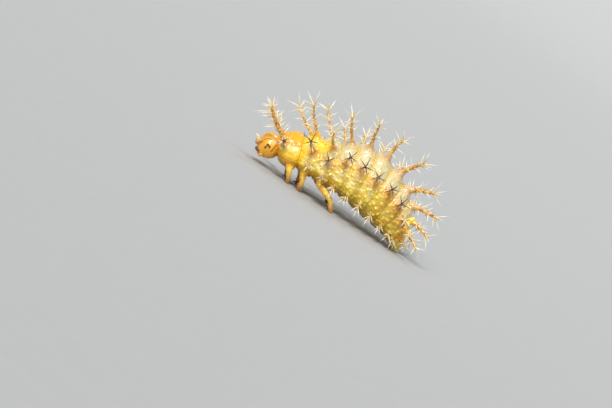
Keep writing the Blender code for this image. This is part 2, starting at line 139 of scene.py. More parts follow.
# Two of the right back spines: part of the segment's length, further turn towards the head
RIGHT_BACK = {"mesothorax": (0.36, 16), "metathorax": (0.50, 8)}
COLLAR_SPINES = {
    "inner": (46, 50, 1.82, 143, 16, 40),
    "outer": (68, 74, 0.84, 122, 66, 64),
}
COLLAR_PLACE = 0.24
GIRTH_SHARE = 0.33
SOLID_ROOT = 0.26

# Stem of a branched spine: share of its length and radius, from inside the skin to its top
STEM_SUNK = 0.24
STEM_PROFILE = ((-0.16, 0.185), (0.0, 0.165), (0.06, 0.128), (0.13, 0.104), (0.22, 0.090), (0.36, 0.081),
                (0.52, 0.075), (0.68, 0.069), (0.82, 0.062), (0.93, 0.055), (1.0, 0.042))
STEM_SWAY = 0.035
ROW_GIRTH = {"collar": 1.35, "back": 1.0, "side": 0.85, "edge": 0.80}
BACK_GIRTH = dict(zip(SPINE_ROWS, (0.86, 0.84, 0.88, 0.94, 1.06, 1.14, 1.32, 1.22, 1.20, 1.15)))
EDGE_SHARE = 0.55
STEM_SIDES = 14

# Legs: segment, part of its length, angle of the hip, knee and foot places
LEGS = (
    ("front", 0, 0.72, 140, (-6.16, 0.98, 0.56), (-5.92, 0.78)),
    ("middle", 1, 0.50, 142, (-5.44, 1.12, 0.56), (-5.34, 0.92)),
    ("hind", 2, 0.56, 146, (-3.92, 1.30, 0.50), (-3.58, 1.36)),
)

# Head, with its own axis square to the neck joint
HEAD_HALF_LENGTH = 0.58
HEAD_HALF_HEIGHT = 0.60
HEAD_HALF_WIDTH = 0.60
NECK_OPENING = 0.44
HEAD_GAP = 0.02

# Skin: size of its cells and how it's evened out; patch that one thorn or hair takes on its map
VOXEL = 0.025
RELAX_ROUNDS = 3
RELAX_SHARE = 0.5
PATCH = 0.003


def step(length, slope):
    """Step in X and Z for a length and a slope."""
    return length * math.cos(math.radians(slope)), length * math.sin(math.radians(slope))


def joints():
    """Back points, belly points and half widths at the joints between segments."""
    back, belly, width = [NECK_BACK], [NECK_BELLY], [NECK_HALF_WIDTH]
    for row in SEGMENTS:
        for line, (length, slope) in ((back, row[1:3]), (belly, row[3:5])):
            dx, dz = step(length, slope)
            line.append((line[-1][0] + dx, line[-1][1] + dz))
        width.append(row[5])
    return np.array(back), np.array(belly), np.array(width)


BACK, BELLY, WIDTH = joints()
LOBE = np.array([row[6] for row in SEGMENTS])


def unit(vectors):
    """Vectors of length one."""
    vectors = np.asarray(vectors, float)
    return vectors / np.linalg.norm(vectors, axis=-1, keepdims=True)


HEAD_FORWARD = -unit(np.array((BACK[0][1] - BELLY[0][1], 0.0, BELLY[0][0] - BACK[0][0])))


def smooth(low, high, values):
    """Smooth rise from 0 at low to 1 at high."""
    part = np.clip((np.asarray(values, float) - low) / (high - low), 0.0, 1.0)
    return part * part * (3 - 2 * part)


def window(values, low, high, fall, end):
    """Smooth rise from 0 at low to 1 at high, and fall to 0 from fall to end."""
    return smooth(low, high, values) * (1 - smooth(fall, end, values))


def bell(offset, width):
    """Bell curve, 1 where the offset is 0."""
    return np.exp(-(offset / width) ** 2)


def wrapped(degrees):
    """Angle brought between -180 and 180 degrees."""
    return (degrees + 180) % 360 - 180


def blended(start, end, slope_in, slope_out, t):
    """Smooth curve between two values with a slope at each, read at t from 0 to 1."""
    return ((2 * t ** 3 - 3 * t ** 2 + 1) * start + (t ** 3 - 2 * t ** 2 + t) * slope_in
            + (-2 * t ** 3 + 3 * t ** 2) * end + (t ** 3 - t ** 2) * slope_out)


def curved(points, count):
    """Smooth curve through points, with a number of points for each stretch."""
    points = [np.asarray(point, float) for point in points]
    last = len(points) - 1
    line = []
    for k in range(last):
        slope_in = (points[k + 1] - points[max(k - 1, 0)]) / 2
        slope_out = (points[min(k + 2, last)] - points[k]) / 2
        line += [blended(points[k], points[k + 1], slope_in, slope_out, n / count) for n in range(count)]
    return line + [points[-1]]


def along_curve(values, place):
    """Smooth curve through the joint values, read at places on the body."""
    index = np.clip(np.floor(place).astype(int), 0, COUNT - 1)
    t = place - index
    if values.ndim > 1:
        t = t[:, None]
    before, after = values[np.maximum(index - 1, 0)], values[np.minimum(index + 2, COUNT)]
    start, end = values[index], values[index + 1]
    return blended(start, end, (end - before) / 2, (after - start) / 2, t)


def mound_rows():
    """Place, angle and height of the mound under every branched spine."""
    rows = [(COLLAR_PLACE, side * row[0 if side > 0 else 1], COLLAR_MOUND)
            for row in COLLAR_SPINES.values() for side in (1, -1)]
    for number, name in enumerate(NAMES):
        for row, height in zip(SPINE_ROWS.get(name, ()), (MOUND, MOUND, EDGE_MOUND)):
            left, right, length = row[:3]
            rows += [(number + 0.5, angle, height * min(length, 1.2)) for angle in (left, -right)]
    return rows


MOUNDS = mound_rows()


def skin_points(place, degrees):
    """Points of the skin at places and angles, with its folds, lobes and mounds."""
    place, degrees = np.broadcast_arrays(np.asarray(place, float), np.asarray(degrees, float))
    place, degrees = place.ravel(), degrees.ravel()
    back, belly = along_curve(BACK, place), along_curve(BELLY, place)
    half = along_curve(WIDTH, place)
    middle = belly + AXIS_HEIGHT * (back - belly)
    phi = np.radians(degrees)
    rise = np.cos(phi)[:, None]
    upper = middle + (back - middle) * rise
    lower = middle + (belly - middle) * np.abs(rise) ** BELLY_FLATNESS
    flat = np.where(rise >= 0, upper, lower)
    none = np.zeros(len(place))
    centre = np.stack((middle[:, 0], none, middle[:, 1]), 1)
    up = unit(np.stack((back[:, 0] - belly[:, 0], none, back[:, 1] - belly[:, 1]), 1))
    spot = np.stack((flat[:, 0], none, flat[:, 1]), 1)
    turn = math.radians(ROLL) * np.sin(np.pi * np.clip(place / COUNT, 0, 1)) ** 1.5
    height, across = ((spot - centre) * up).sum(1), -half * np.sin(phi)
    side = across * np.cos(turn) + height * np.sin(turn)
    height = height * np.cos(turn) - across * np.sin(turn)
    spot = centre + up * height[:, None]
    spot[:, 1] += side

    index = np.clip(np.floor(place).astype(int), 0, COUNT - 1)
    t = np.clip(place - index, 0.0, 1.0)
    fullness = np.where(index > 0, LOBE_FULLNESS, COLLAR_FULLNESS)
    around = wrapped(degrees)
    angle = np.abs(around)
    flank = smooth(38, 60, angle) * (1 - 0.5 * smooth(130, 165, angle)) * smooth(1.0, 1.8, place)
    ridge = 1 - (1 - FLANK_LOBE) * flank
    swell = ridge * (LOBE[index] * np.sin(np.pi * t) ** fullness - CREASE * np.abs(2 * t - 1) ** 4)
    swell += (1 - ridge) * 0.06
    to_joint = np.minimum(t, 1 - t)
    size = smooth(0.2, 1.0, half)
    swell -= JOINT_FOLD * size * bell(to_joint, JOINT_FOLD_WIDTH) * (place > 0.3)
    plate = window(place, 0.15, 0.4, 0.85, 1.0)
    swell -= PLATE_GROOVE * plate * bell(angle - PLATE_EDGE, PLATE_GROOVE_WIDTH)
    on_trunk = window(place, 0.8, 1.6, 8.5, 10.5) * (0.4 + 0.6 * np.sin(np.pi * t))
    for groove in SIDE_GROOVES:
        swell -= SIDE_GROOVE * on_trunk * bell(angle - groove, SIDE_GROOVE_WIDTH)
    for at, mound, tall in MOUNDS:
        reach = np.radians(around - mound) / MOUND_WIDTH
        swell += tall * np.exp(-reach ** 2 - ((place - at) / MOUND_LENGTH) ** 2)
    return spot + unit(spot - centre) * swell[:, None]


def skin_point(place, degrees):
    """One point of the skin."""
    return skin_points([place], [degrees])[0]


def outward(place, degrees):
    """Direction straight out of the skin at a place."""
    ahead, behind = skin_point(min(place + 0.06, COUNT), degrees), skin_point(place - 0.06, degrees)
    left, right = skin_point(place, degrees + 5), skin_point(place, degrees - 5)
    normal = unit(np.cross(ahead - behind, left - right))
    away = skin_point(place, degrees) - skin_points([place, place], [0, 180]).mean(0)
    return normal if normal @ away > 0 else -normal


Spine = namedtuple("Spine", "name row place angle root direction length girth")


def pointing(heading, splay, side):
    """Direction from a heading in side view and a splay to the left (1) or the right (-1)."""
    flat = math.cos(math.radians(splay))
    x, z = step(flat, heading)
    return np.array((x, -side * math.sin(math.radians(splay)), z))


def all_spines():
    """Every branched spine, in the places and directions of the solids."""
    rng = random.Random(SEED)
    rows = [("prothorax", "collar", row, COLLAR_PLACE, COLLAR_PLACE, 0) for row in COLLAR_SPINES.values()]
    for name in NAMES:
        for word, row in zip(ROW_WORDS, SPINE_ROWS.get(name, ())):
            right_place, further = RIGHT_BACK.get(name, (0.5, 0)) if word == "back" else (0.5, 0)
            rows.append((name, word, row, 0.5, right_place, further))
    spines = []
    for name, word, row, left_place, right_place, further in rows:
        left, right, length, heading, splay_left, splay_right = row
        number = NAMES.index(name)
        for side, t, angle, splay, aim in ((1, left_place, left, splay_left, heading),
                                           (-1, right_place, -right, splay_right, heading + further)):
            direction = unit(pointing(aim + rng.uniform(-3, 3), splay + rng.uniform(-2, 2), side))
            ends = skin_points([number, number + 1], [angle, angle])
            girth = min(1.0, np.linalg.norm(ends[1] - ends[0]) * GIRTH_SHARE / SOLID_ROOT)
            length_now = length * rng.uniform(0.97, 1.03) * (EDGE_SHARE if word == "edge" else 1.0)
            place = number + t
            spines.append(Spine(name, word, place, angle, skin_point(place, angle), direction,
                                length_now, girth))
    return spines


SPINES = all_spines()


class Pile:
    """Points and faces of many closed pieces that become one mesh, with values and a map."""

    def __init__(self):
        self.points = []
        self.faces = []
        self.corners = []
        self.values = {}
        self.size = 0

    def tube(self, path, radii, sides, spot=(0.0, 0.0), **values):
        """Closed round tube along a path; it ends in a point where the last radius is 0."""
        path = np.asarray(path, float)
        count = len(path)
        first = None
        rings = []
        for k in range(count):
            along = unit(path[min(k + 1, count - 1)] - path[max(k - 1, 0)])
            if first is None:
                helper = (0.0, 0.0, 1.0) if abs(along[2]) < 0.8 else (0.0, 1.0, 0.0)
                first = unit(np.cross(helper, along))
            first = unit(first - along * (first @ along))
            second = np.cross(along, first)
            turn = 2 * np.pi * np.arange(sides) / sides
            circle = np.cos(turn)[:, None] * first + np.sin(turn)[:, None] * second
            rings.append(path[k] + radii[k] * circle)
        pointed = radii[-1] == 0
        if pointed:
            rings[-1] = path[-1:]
        start = self.size
        for ring in rings:
            self.points.extend(ring)
            self.size += len(ring)
        rows = count - 2 if pointed else count - 1
        for row in range(rows):
            low, high = row / count, (row + 1) / count
            for k in range(sides):
                a, b = start + row * sides + k, start + row * sides + (k + 1) % sides
                self.faces.append((a, b, b + sides, a + sides))
                self.add_corners(spot, ((k, low), (k + 1, low), (k + 1, high), (k, high)), sides)
        if pointed:
            last = start + rows * sides
            for k in range(sides):
                self.faces.append((last + k, last + (k + 1) % sides, self.size - 1))
                self.add_corners(spot, ((k, 0.9), (k + 1, 0.9), (k + 0.5, 1.0)), sides)
        else:
            self.faces.append(tuple(range(self.size - sides, self.size)))
            self.add_corners(spot, [(k, 1.0) for k in range(sides)], sides)
        self.faces.append(tuple(reversed(range(start, start + sides))))
        self.add_corners(spot, [(k, 0.0) for k in range(sides)], sides)
        for key, value in values.items():
            row = self.values.setdefault(key, [])
            row.extend([0.0] * (start - len(row)))
            for k, ring in enumerate(rings):
                amount = value[k] if np.ndim(value) else value
                row.extend([amount] * len(ring))

    def add_corners(self, spot, corners, sides):
        """Map of one face, inside the small patch at the piece's root."""
        for across, up in corners:
            self.corners.append((spot[0] + PATCH * (across / sides - 0.5), spot[1] + PATCH * (up - 0.5)))

    def mesh(self, name):
        """Mesh in metres with its values, and its map for baking."""
        mesh = mesh_from(name, np.array(self.points), self.faces)
        layer = mesh.uv_layers.new(name="OFBake")
        layer.uv.foreach_set("vector", np.array(self.corners, np.float32).ravel())
        add_values(mesh, **{key: row + [0.0] * (self.size - len(row)) for key, row in self.values.items()})
        turn_outward(mesh)
        return mesh


def to_metres(points):
    """Points of the object in metres."""
    return (np.asarray(points, float) + (TAIL_X, 0.0, 0.0)) * MM


def smooth_shaded(mesh):
    """Mesh with all its faces shaded smooth."""
    mesh.polygons.foreach_set("use_smooth", [True] * len(mesh.polygons))
    mesh.update()
    return mesh


def mesh_from(name, points, faces, scaled=True):
    """Smooth shaded mesh, from millimetres or unscaled."""
    mesh = bpy.data.meshes.new(name)
    mesh.from_pydata(to_metres(points) if scaled else points, [], faces)
    return smooth_shaded(mesh)


def read_rows(items, key, width, kind=float):
    """Values of a mesh's items, one row for each item."""
    values = np.empty(len(items) * width, kind)
    items.foreach_get(key, values)
    return values.reshape(-1, width)


def placed(name, data):
    """Object in the scene."""
    made = bpy.data.objects.new(name, data)
    bpy.context.scene.collection.objects.link(made)
    return made


def add_values(mesh, **rows):
    """Values at each point that the materials read."""
    for name, values in rows.items():
        layer = mesh.attributes.new(name, "FLOAT", "POINT")
        layer.data.foreach_set("value", np.asarray(values, np.float32))


def turn_outward(mesh):
    """Turns the faces of closed pieces outward."""
    work = bmesh.new()
    work.from_mesh(mesh)
    bmesh.ops.recalc_face_normals(work, faces=work.faces)
    work.to_mesh(mesh)
    work.free()


def search_tree(points):
    """Tree that finds the nearest of the points."""
    tree = KDTree(len(points))
    for k, point in enumerate(points):
        tree.insert(point, k)
    tree.balance()
    return tree


def piece(name, mesh, material, nodes=()):
    """Object that rides on the body, with its material, slot and the nodes it stands for."""
    made = placed(name, mesh)
    mesh.materials.clear()
    mesh.materials.append(material)
    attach(made, "root")
    if nodes:
        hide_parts(*nodes)


def fine_piece(name, pile, material):
    """Piece that stands for the node of the same name."""
    piece(name + "_fine", pile.mesh(name + "_fine"), material, [name])


# Materials
def node(tree, kind, sockets=None, **settings):
    """Shader node with its settings, and its inputs by name or number."""
    made = tree.nodes.new(kind)
    for key, value in settings.items():
        setattr(made, key, value)
    for key, value in (sockets or {}).items():
        if isinstance(value, bpy.types.NodeSocket):
            tree.links.new(value, made.inputs[key])
        else:
            made.inputs[key].default_value = value
    return made


def mixed(tree, factor, first, second):
    """Colour between two, by a factor."""
    sockets = {0: factor, 6: first, 7: second}
    return node(tree, "ShaderNodeMix", sockets, data_type="RGBA", clamp_factor=True).outputs[2]


def maths(tree, operation, first, second=0.0):
    """Result of one operation on two values."""
    return node(tree, "ShaderNodeMath", {0: first, 1: second}, operation=operation).outputs[0]


def ranged(tree, value, low, high, bottom=0.0, top=1.0):
    """Value brought smoothly from one range to another."""
    sockets = {0: value, 1: low, 2: high, 3: bottom, 4: top}
    return node(tree, "ShaderNodeMapRange", sockets, interpolation_type="SMOOTHSTEP").outputs[0]


def times(tree, first, second):
    """Product of two values."""
    return maths(tree, "MULTIPLY", first, second)


def value_of(tree, name, amount=None):
    """Value stored on the mesh, times an amount where one is given."""
    value = node(tree, "ShaderNodeAttribute", attribute_name=name).outputs["Fac"]
    return value if amount is None else times(tree, value, amount)


def layered(tree, colour, *layers):
    """Colour covered by further layers, each a factor and a colour."""
    for factor, layer in layers:
        colour = mixed(tree, factor, colour, layer)
    return colour


def shaded(tree, colour, shade):
    """Colour made lighter or darker by a value."""
    tint = node(tree, "ShaderNodeMix", {0: 1.0, 6: colour}, data_type="RGBA", blend_type="MULTIPLY")
    tree.links.new(shade, tint.inputs[7])
    return tint.outputs[2]


def pattern(tree, kind, size_mm, sockets, **settings):
    """Pattern node over the object, with a size in millimetres."""
    where = node(tree, "ShaderNodeTexCoord").outputs["Object"]
    return node(tree, kind, {"Vector": where, "Scale": 1.0 / (size_mm * MM), **sockets}, **settings)


def grain(tree, size_mm, detail=3.0):
    """Noise with spots of a size in millimetres."""
    return pattern(tree, "ShaderNodeTexNoise", size_mm, {"Detail": detail, "Roughness": 0.55}).outputs[0]


def pebbles(tree, size_mm):
    """Rounded cells of a size in millimetres, 0 in the middle of each."""
    made = pattern(tree, "ShaderNodeTexVoronoi", size_mm, {"Smoothness": 0.6}, feature="SMOOTH_F1")
    return made.outputs["Distance"]


def bumped(tree, layers):
    """Surface direction after bumps: height, distance in millimetres and strength of each."""
    normal = None
    for height, distance, strength in layers:
        sockets = {"Height": height, "Distance": distance * MM, "Strength": strength}
        if normal is not None:
            sockets["Normal"] = normal
        normal = node(tree, "ShaderNodeBump", sockets).outputs[0]
    return normal


# How far red, green and blue light go through flesh, as shares of its depth
FLESH_RADIUS = (1.0, 0.55, 0.22)
COAT_ROUGHNESS = 0.10


def new_material(name, roughness, flesh=0.0, flesh_depth=0.2, coat=0.0, specular=0.5):
    """Material with its shader: roughness, share and depth of light through flesh, and wet coat."""
    material = bpy.data.materials.new(name)
    material.use_nodes = True
    shader = material.node_tree.nodes["Principled BSDF"]
    for key, value in (("Roughness", roughness), ("Subsurface Weight", flesh),
                       ("Subsurface Radius", FLESH_RADIUS), ("Subsurface Scale", flesh_depth * MM),
                       ("Coat Weight", coat), ("Coat Roughness", COAT_ROUGHNESS),
                       ("Specular IOR Level", specular)):
        shader.inputs[key].default_value = value
    return material, material.node_tree, shader


def finish_material(tree, shader, colour, normal=None, roughness=None):
    """Links a material's colour, surface direction and roughness."""
    tree.links.new(colour, shader.inputs["Base Color"])
    if normal is not None:
        tree.links.new(normal, shader.inputs["Normal"])
    if roughness is not None:
        tree.links.new(roughness, shader.inputs["Roughness"])


GOLD = (0.90, 0.60, 0.022, 1.0)
CREAM = (0.70, 0.62, 0.33, 1.0)
FAT = (1.0, 0.93, 0.50, 1.0)
YELLOW = (1.0, 0.79, 0.075, 1.0)
SUNNY = (1.0, 0.68, 0.030, 1.0)
OCHRE = (0.56, 0.33, 0.014, 1.0)
ORANGE = (0.84, 0.42, 0.004, 1.0)
AMBER = (0.46, 0.17, 0.010, 1.0)
RUST = (0.62, 0.17, 0.008, 1.0)
PALE_STEM = (0.84, 0.56, 0.18, 1.0)
AMBER_STEM = (0.44, 0.17, 0.015, 1.0)
BROWN = (0.07, 0.022, 0.008, 1.0)
DEEP_HEAD = (0.96, 0.38, 0.010, 1.0)
LIGHT_HEAD = (1.0, 0.58, 0.045, 1.0)
PALE_LEG = (0.96, 0.58, 0.06, 1.0)
LEG_TIP = (0.42, 0.14, 0.02, 1.0)


def skin_material():
    """Soft, moist skin: cream back, golden flanks with pale fat showing through, orange collar, with painted
    shade between the warts and underneath and a painted highlight along the collar.
    """
    material, tree, shader = new_material("larva_skin", 0.34, 0.35, 0.30, 0.60)
    wide, fine = grain(tree, 0.45), grain(tree, 0.10, 4.0)
    fat = value_of(tree, "fat", ranged(tree, wide, 0.36, 0.60, 0.45, 1.0))
    fat = times(tree, fat, ranged(tree, pebbles(tree, 0.22), 0.60, 0.20, 0.35, 1.0))
    edge = maths(tree, "ADD", value_of(tree, "cream"), times(tree, wide, 0.5))
    rim = value_of(tree, "cream", value_of(tree, "crease"))
    colour = layered(
        tree, mixed(tree, ranged(tree, wide, 0.35, 0.60), GOLD, YELLOW),
        # painted shade: ochre darkening in the gaps between the warts
        (value_of(tree, "hollow", 0.46), OCHRE),
        (fat, FAT),
        (ranged(tree, edge, 0.45, 0.85), CREAM),
        (times(tree, rim, ranged(tree, fine, 0.35, 0.6, 0.2, 0.8)), OCHRE),
        (value_of(tree, "warm"), SUNNY),
        (value_of(tree, "orange"), ORANGE),
        # painted highlight: a pale band along the collar's side, below its plate
        (value_of(tree, "band", 0.5), FAT),
        # painted shade: amber darkening on the underside, and more faintly on the flank towards the tail
        (value_of(tree, "under", ranged(tree, fine, 0.38, 0.62, 0.10, 0.75)), AMBER),
        (value_of(tree, "crease", 0.45), GOLD),
        (value_of(tree, "spot", ranged(tree, fine, 0.3, 0.65, 0.35, 0.9)), RUST),
        (ranged(tree, value_of(tree, "stem"), 0.03, 0.22),
         mixed(tree, ranged(tree, fine, 0.35, 0.65), AMBER_STEM, PALE_STEM)),
        (value_of(tree, "leg"), PALE_LEG),
        (value_of(tree, "sole", 0.90), LEG_TIP),
        (value_of(tree, "dark"), BROWN))
    colour = shaded(tree, colour, ranged(tree, fine, 0.25, 0.75, 0.86, 1.08))
    bumps = ((ranged(tree, pebbles(tree, 0.13), 0.55, 0.1), 0.024, 0.70), (fine, 0.010, 0.5))
    rough = ranged(tree, wide, 0.3, 0.7, 0.24, 0.38)
    finish_material(tree, shader, colour, bumped(tree, bumps), rough)
    return material


def head_material():
    """Hard, glossy orange head with brown seams and dark marks."""
    material, tree, shader = new_material("larva_head", 0.22, 0.18, 0.2, 0.5)
    wide, fine = grain(tree, 0.30), grain(tree, 0.05, 4.0)
    colour = layered(
        tree, mixed(tree, ranged(tree, wide, 0.35, 0.65), DEEP_HEAD, LIGHT_HEAD),
        # partly the head's own paler patch behind the eyes and partly a painted highlight there
        (value_of(tree, "pale", 0.6), FAT),
        (value_of(tree, "rust"), RUST),
        (value_of(tree, "ink", ranged(tree, fine, 0.25, 0.6, 0.7, 1.0)), BROWN))
    bumps = ((pebbles(tree, 0.055), 0.004, 0.4), (fine, 0.003, 0.35))
    finish_material(tree, shader, colour, bumped(tree, bumps), ranged(tree, fine, 0.3, 0.7, 0.17, 0.30))
    return material


def horn_material(name, root, tip, roughness):
    """Hard skin that goes from one colour at the root to another at the tip."""
    material, tree, shader = new_material(name, roughness, 0.10, 0.12, 0.3)
    fine = grain(tree, 0.04, 3.0)
    colour = mixed(tree, ranged(tree, value_of(tree, "tip"), 0.05, 0.75), root, tip)
    colour = shaded(tree, colour, ranged(tree, fine, 0.3, 0.7, 0.82, 1.1))
    finish_material(tree, shader, colour, bumped(tree, ((fine, 0.003, 0.4),)))
    return material


def floor_material():
    """Plain pale matt floor."""
    material, tree, shader = new_material("studio_floor", 0.85, specular=0.2)
    tone = grain(tree, 1.5, 2.0)
    colour = mixed(tree, tone, (0.40, 0.41, 0.42, 1.0), (0.42, 0.43, 0.44, 1.0))
    finish_material(tree, shader, colour)
    return material


SKIN = skin_material()
HEAD = head_material()
PALE_SPINE = horn_material("spine_pale", (0.86, 0.66, 0.30, 1.0), (0.94, 0.90, 0.76, 1.0), 0.28)
DARK_SPINE = horn_material("spine_dark", (0.05, 0.018, 0.008, 1.0), (0.012, 0.008, 0.007, 1.0), 0.25)
BRISTLE = horn_material("bristle", (0.74, 0.48, 0.14, 1.0), (0.86, 0.72, 0.42, 1.0), 0.35)
CLAW = horn_material("claw_horn", (0.30, 0.10, 0.02, 1.0), (0.06, 0.02, 0.008, 1.0), 0.2)
JAW = horn_material("jaw_horn", (0.34, 0.10, 0.015, 1.0), (0.03, 0.010, 0.006, 1.0), 0.18)
SOFT = horn_material("mouth_skin", (0.80, 0.46, 0.10, 1.0), (0.70, 0.34, 0.06, 1.0), 0.3)
FEELER = horn_material("feeler_skin", (0.86, 0.46, 0.10, 1.0), (0.95, 0.84, 0.60, 1.0), 0.3)
EYE = horn_material("eye_lens", (0.010, 0.006, 0.005, 1.0), (0.02, 0.012, 0.010, 1.0), 0.08)


# Skin
def ring_faces(rows, sides):
    """Faces of a closed tube of equal rings, with flat ends."""
    faces = []
    for row in range(rows - 1):
        for k in range(sides):
            a, b = row * sides + k, row * sides + (k + 1) % sides
            faces.append((a, b, b + sides, a + sides))
    return faces + [tuple(reversed(range(sides))), tuple(range((rows - 1) * sides, rows * sides))]


BODY_SIDES = 168
BODY_STEPS = 26
BODY_END = 11.6
FOOT_STEPS = 4
# Rings that close the body inside the head: size and distance forward
NECK_RINGS = ((0.45, 0.22), (0.62, 0.20), (0.78, 0.14), (0.90, 0.07))
# Rings of the tail foot: height and size
FOOT_RINGS = ((0.11, 0.96), (0.045, 1.05), (0.010, 1.02), (0.0, 0.86))


def body_rings():
    """Rings of the body from inside the head to the flat of the tail foot."""
    angles = np.arange(BODY_SIDES) * 360.0 / BODY_SIDES
    neck = skin_points(np.zeros(BODY_SIDES), angles)
    centre = neck.mean(0)
    rings = [centre + (neck - centre) * share + HEAD_FORWARD * reach for share, reach in NECK_RINGS]
    for place in np.linspace(0.0, BODY_END, int(BODY_END * BODY_STEPS)):
        rings.append(skin_points(np.full(BODY_SIDES, place), angles))
    keys = [rings[-8], rings[-1]]
    middle = (BACK[-1] + BELLY[-1]) / 2
    phi = np.radians(angles)
    for height, grow in FOOT_RINGS:
        x = middle[0] + grow * FOOT_LENGTH / 2 * np.cos(phi)
        y = -grow * FOOT_WIDTH / 2 * np.sin(phi)
        keys.append(np.stack((x, y, np.full(BODY_SIDES, height)), 1))
    return rings + curved(keys, FOOT_STEPS)[FOOT_STEPS + 1:]


def stem_girth(spine):
    """How thick a stem is, as a share of its profile."""
    own = BACK_GIRTH[spine.name] if spine.row == "back" else ROW_GIRTH[spine.row]
    return own * (0.55 + 0.45 * spine.girth)


def stem_path(spine):
    """Middle line of a stem, a little curved, at the shares of its profile."""
    bend = unit(np.cross(spine.direction, (0.0, 1.0, 0.3)))
    points = []
    for share, _ in STEM_PROFILE:
        sway = STEM_SWAY * math.sin(math.pi * min(max(share, 0.0), 1.0)) * spine.length
        points.append(spine.root + spine.direction * share * spine.length + bend * sway)
    points[0] = spine.root - spine.direction * STEM_SUNK * spine.girth
    return points


# Radius of a leg from inside the body to the sole; the middle lines of the legs are added with the skin
LEG_RADII = (0.30, 0.245, 0.195, 0.145, 0.152, 0.130, 0.108, 0.114, 0.104, 0.088, 0.084)
LEG_STEPS = 5
LEG_SIDES = 24
LEG_LINES = []


def leg_path(index, t, angle, knee, foot, side):
    """Points along a leg: hip cone, thigh, knee, shank and sole."""
    hip = skin_point(index + t, side * angle)
    out = outward(index + t, side * angle)
    bend = np.array((knee[0], -side * knee[1], knee[2]))
    toe = np.array((foot[0], -side * foot[1], 0.0))
    thigh = hip + out * 0.16
    shank = toe - bend
    knee_in, knee_out = bend + (thigh - bend) * 0.22, bend + shank * 0.14
    return (hip - out * 0.28, hip - out * 0.06, hip + out * 0.07, thigh + (bend - thigh) * 0.10,
            thigh * 0.5 + bend * 0.5, knee_in, knee_out, bend + shank * 0.36, bend + shank * 0.62,
            bend + shank * 0.86, toe)


def skin_pile():
    """Body, stems and legs, as overlapping closed pieces."""
    pile = Pile()
    rings = body_rings()
    pile.points = [point for ring in rings for point in ring]
    pile.size = len(pile.points)
    pile.faces = ring_faces(len(rings), BODY_SIDES)
    for spine in SPINES:
        radii = [radius * stem_girth(spine) for _, radius in STEM_PROFILE]
        pile.tube(stem_path(spine), radii, STEM_SIDES)
    for _, *row in LEGS:
        for side in (1, -1):
            points = [np.append(point, radius) for point, radius in zip(leg_path(*row, side), LEG_RADII)]
            line = np.array(curved(points, LEG_STEPS))
            pile.tube(line[:, :3], line[:, 3], LEG_SIDES)
            LEG_LINES.append(line[:, :3])
    return pile


def remeshed(points, faces):
    """One closed surface round overlapping pieces."""
    holder = placed("skin_parts", mesh_from("skin_parts", points, faces, scaled=False))
    modifier = holder.modifiers.new("remesh", "REMESH")
    modifier.mode = "VOXEL"
    modifier.voxel_size = VOXEL
    modifier.adaptivity = 0.0
    bpy.context.view_layer.update()
    result = bpy.data.meshes.new_from_object(holder.evaluated_get(bpy.context.evaluated_depsgraph_get()))
    bpy.data.objects.remove(holder, do_unlink=True)
    work = bmesh.new()
    work.from_mesh(result)
    keep_largest(work)
    work.to_mesh(result)
    work.free()
    return result


def keep_largest(work):
    """Removes every loose surface but the largest."""
    left = set(work.verts)
    shells = []
    while left:
        stack = [left.pop()]
        shell = set(stack)
        while stack:
            for edge in stack.pop().link_edges:
                for vert in edge.verts:
                    if vert in left:
                        left.discard(vert)
                        shell.add(vert)
                        stack.append(vert)
        shells.append(shell)
    shells.sort(key=len, reverse=True)
    for shell in shells[1:]:
        bmesh.ops.delete(work, geom=list(shell), context="VERTS")


def relaxed(values, edges, rounds):
    """Values at the points, evened out with those of their neighbours."""
    values = np.array(values, float)
    flat = values.ndim == 1
    if flat:
        values = values[:, None]
    count = np.bincount(edges.ravel(), minlength=len(values))[:, None]
    for _ in range(rounds):
        total = np.stack([
            np.bincount(edges[:, 0], values[edges[:, 1], column], len(values))
            + np.bincount(edges[:, 1], values[edges[:, 0], column], len(values))
            for column in range(values.shape[1])], 1)
        values += RELAX_SHARE * (total / count - values)
    return values[:, 0] if flat else values


# Places along the body, and degrees between points round it, in the search for the nearest skin point
GRID_PLACES = 420
GRID_ANGLE = 1.5


def body_places(points):
    """Place and angle on the body of the nearest skin point to each point."""
    places = np.linspace(0.0, BODY_END, GRID_PLACES)
    angles = np.arange(-180, 180, GRID_ANGLE)
    grid_place, grid_angle = [values.ravel() for values in np.meshgrid(places, angles, indexing="ij")]
    tree = search_tree(skin_points(grid_place, grid_angle))
    nearest = np.array([tree.find(point)[1] for point in points])
    return grid_place[nearest], grid_angle[nearest]


# Dark stems end at this place in the side row, and begin at this angle in the collar
DARK_END = 8.0
DARK_COLLAR = 60


def dark_topped(spine):
    """Whether a stem's top is dark: the side row but for its end, and the outer stems of the collar."""
    if spine.row == "collar":
        return abs(spine.angle) > DARK_COLLAR
    return spine.row == "side" and spine.place < DARK_END


def stem_values(points):
    """How far up a stem each point lies, how dark the stem is there, and how near its root."""
    height = np.zeros(len(points))
    dark = np.zeros(len(points))
    spot = np.zeros(len(points))
    for spine in SPINES:
        from_root = points - spine.root
        along = from_root @ spine.direction
        aside = np.linalg.norm(from_root - along[:, None] * spine.direction, axis=1)
        wide = 0.30 * spine.girth
        inside = (aside < wide) & (along > 0) & (along < spine.length * 1.08)
        share = np.clip(along / spine.length, 0, 1)
        part = share * inside * smooth(wide, wide * 0.7, aside)
        height = np.maximum(height, part)
        if dark_topped(spine):
            dark = np.maximum(dark, inside * smooth(0.66, 0.84, share))
        if spine.row in ("side", "back"):
            near = bell(np.linalg.norm(from_root, axis=1), 0.34 * spine.girth)
            spot = np.maximum(spot, near * (1.0 if spine.row == "side" else 0.80))
    return height, dark, spot


# How far a leg's skin lies at most from the middle point of its line, and from the line
LEG_REACH = 0.9
LEG_CLOSE = 0.27


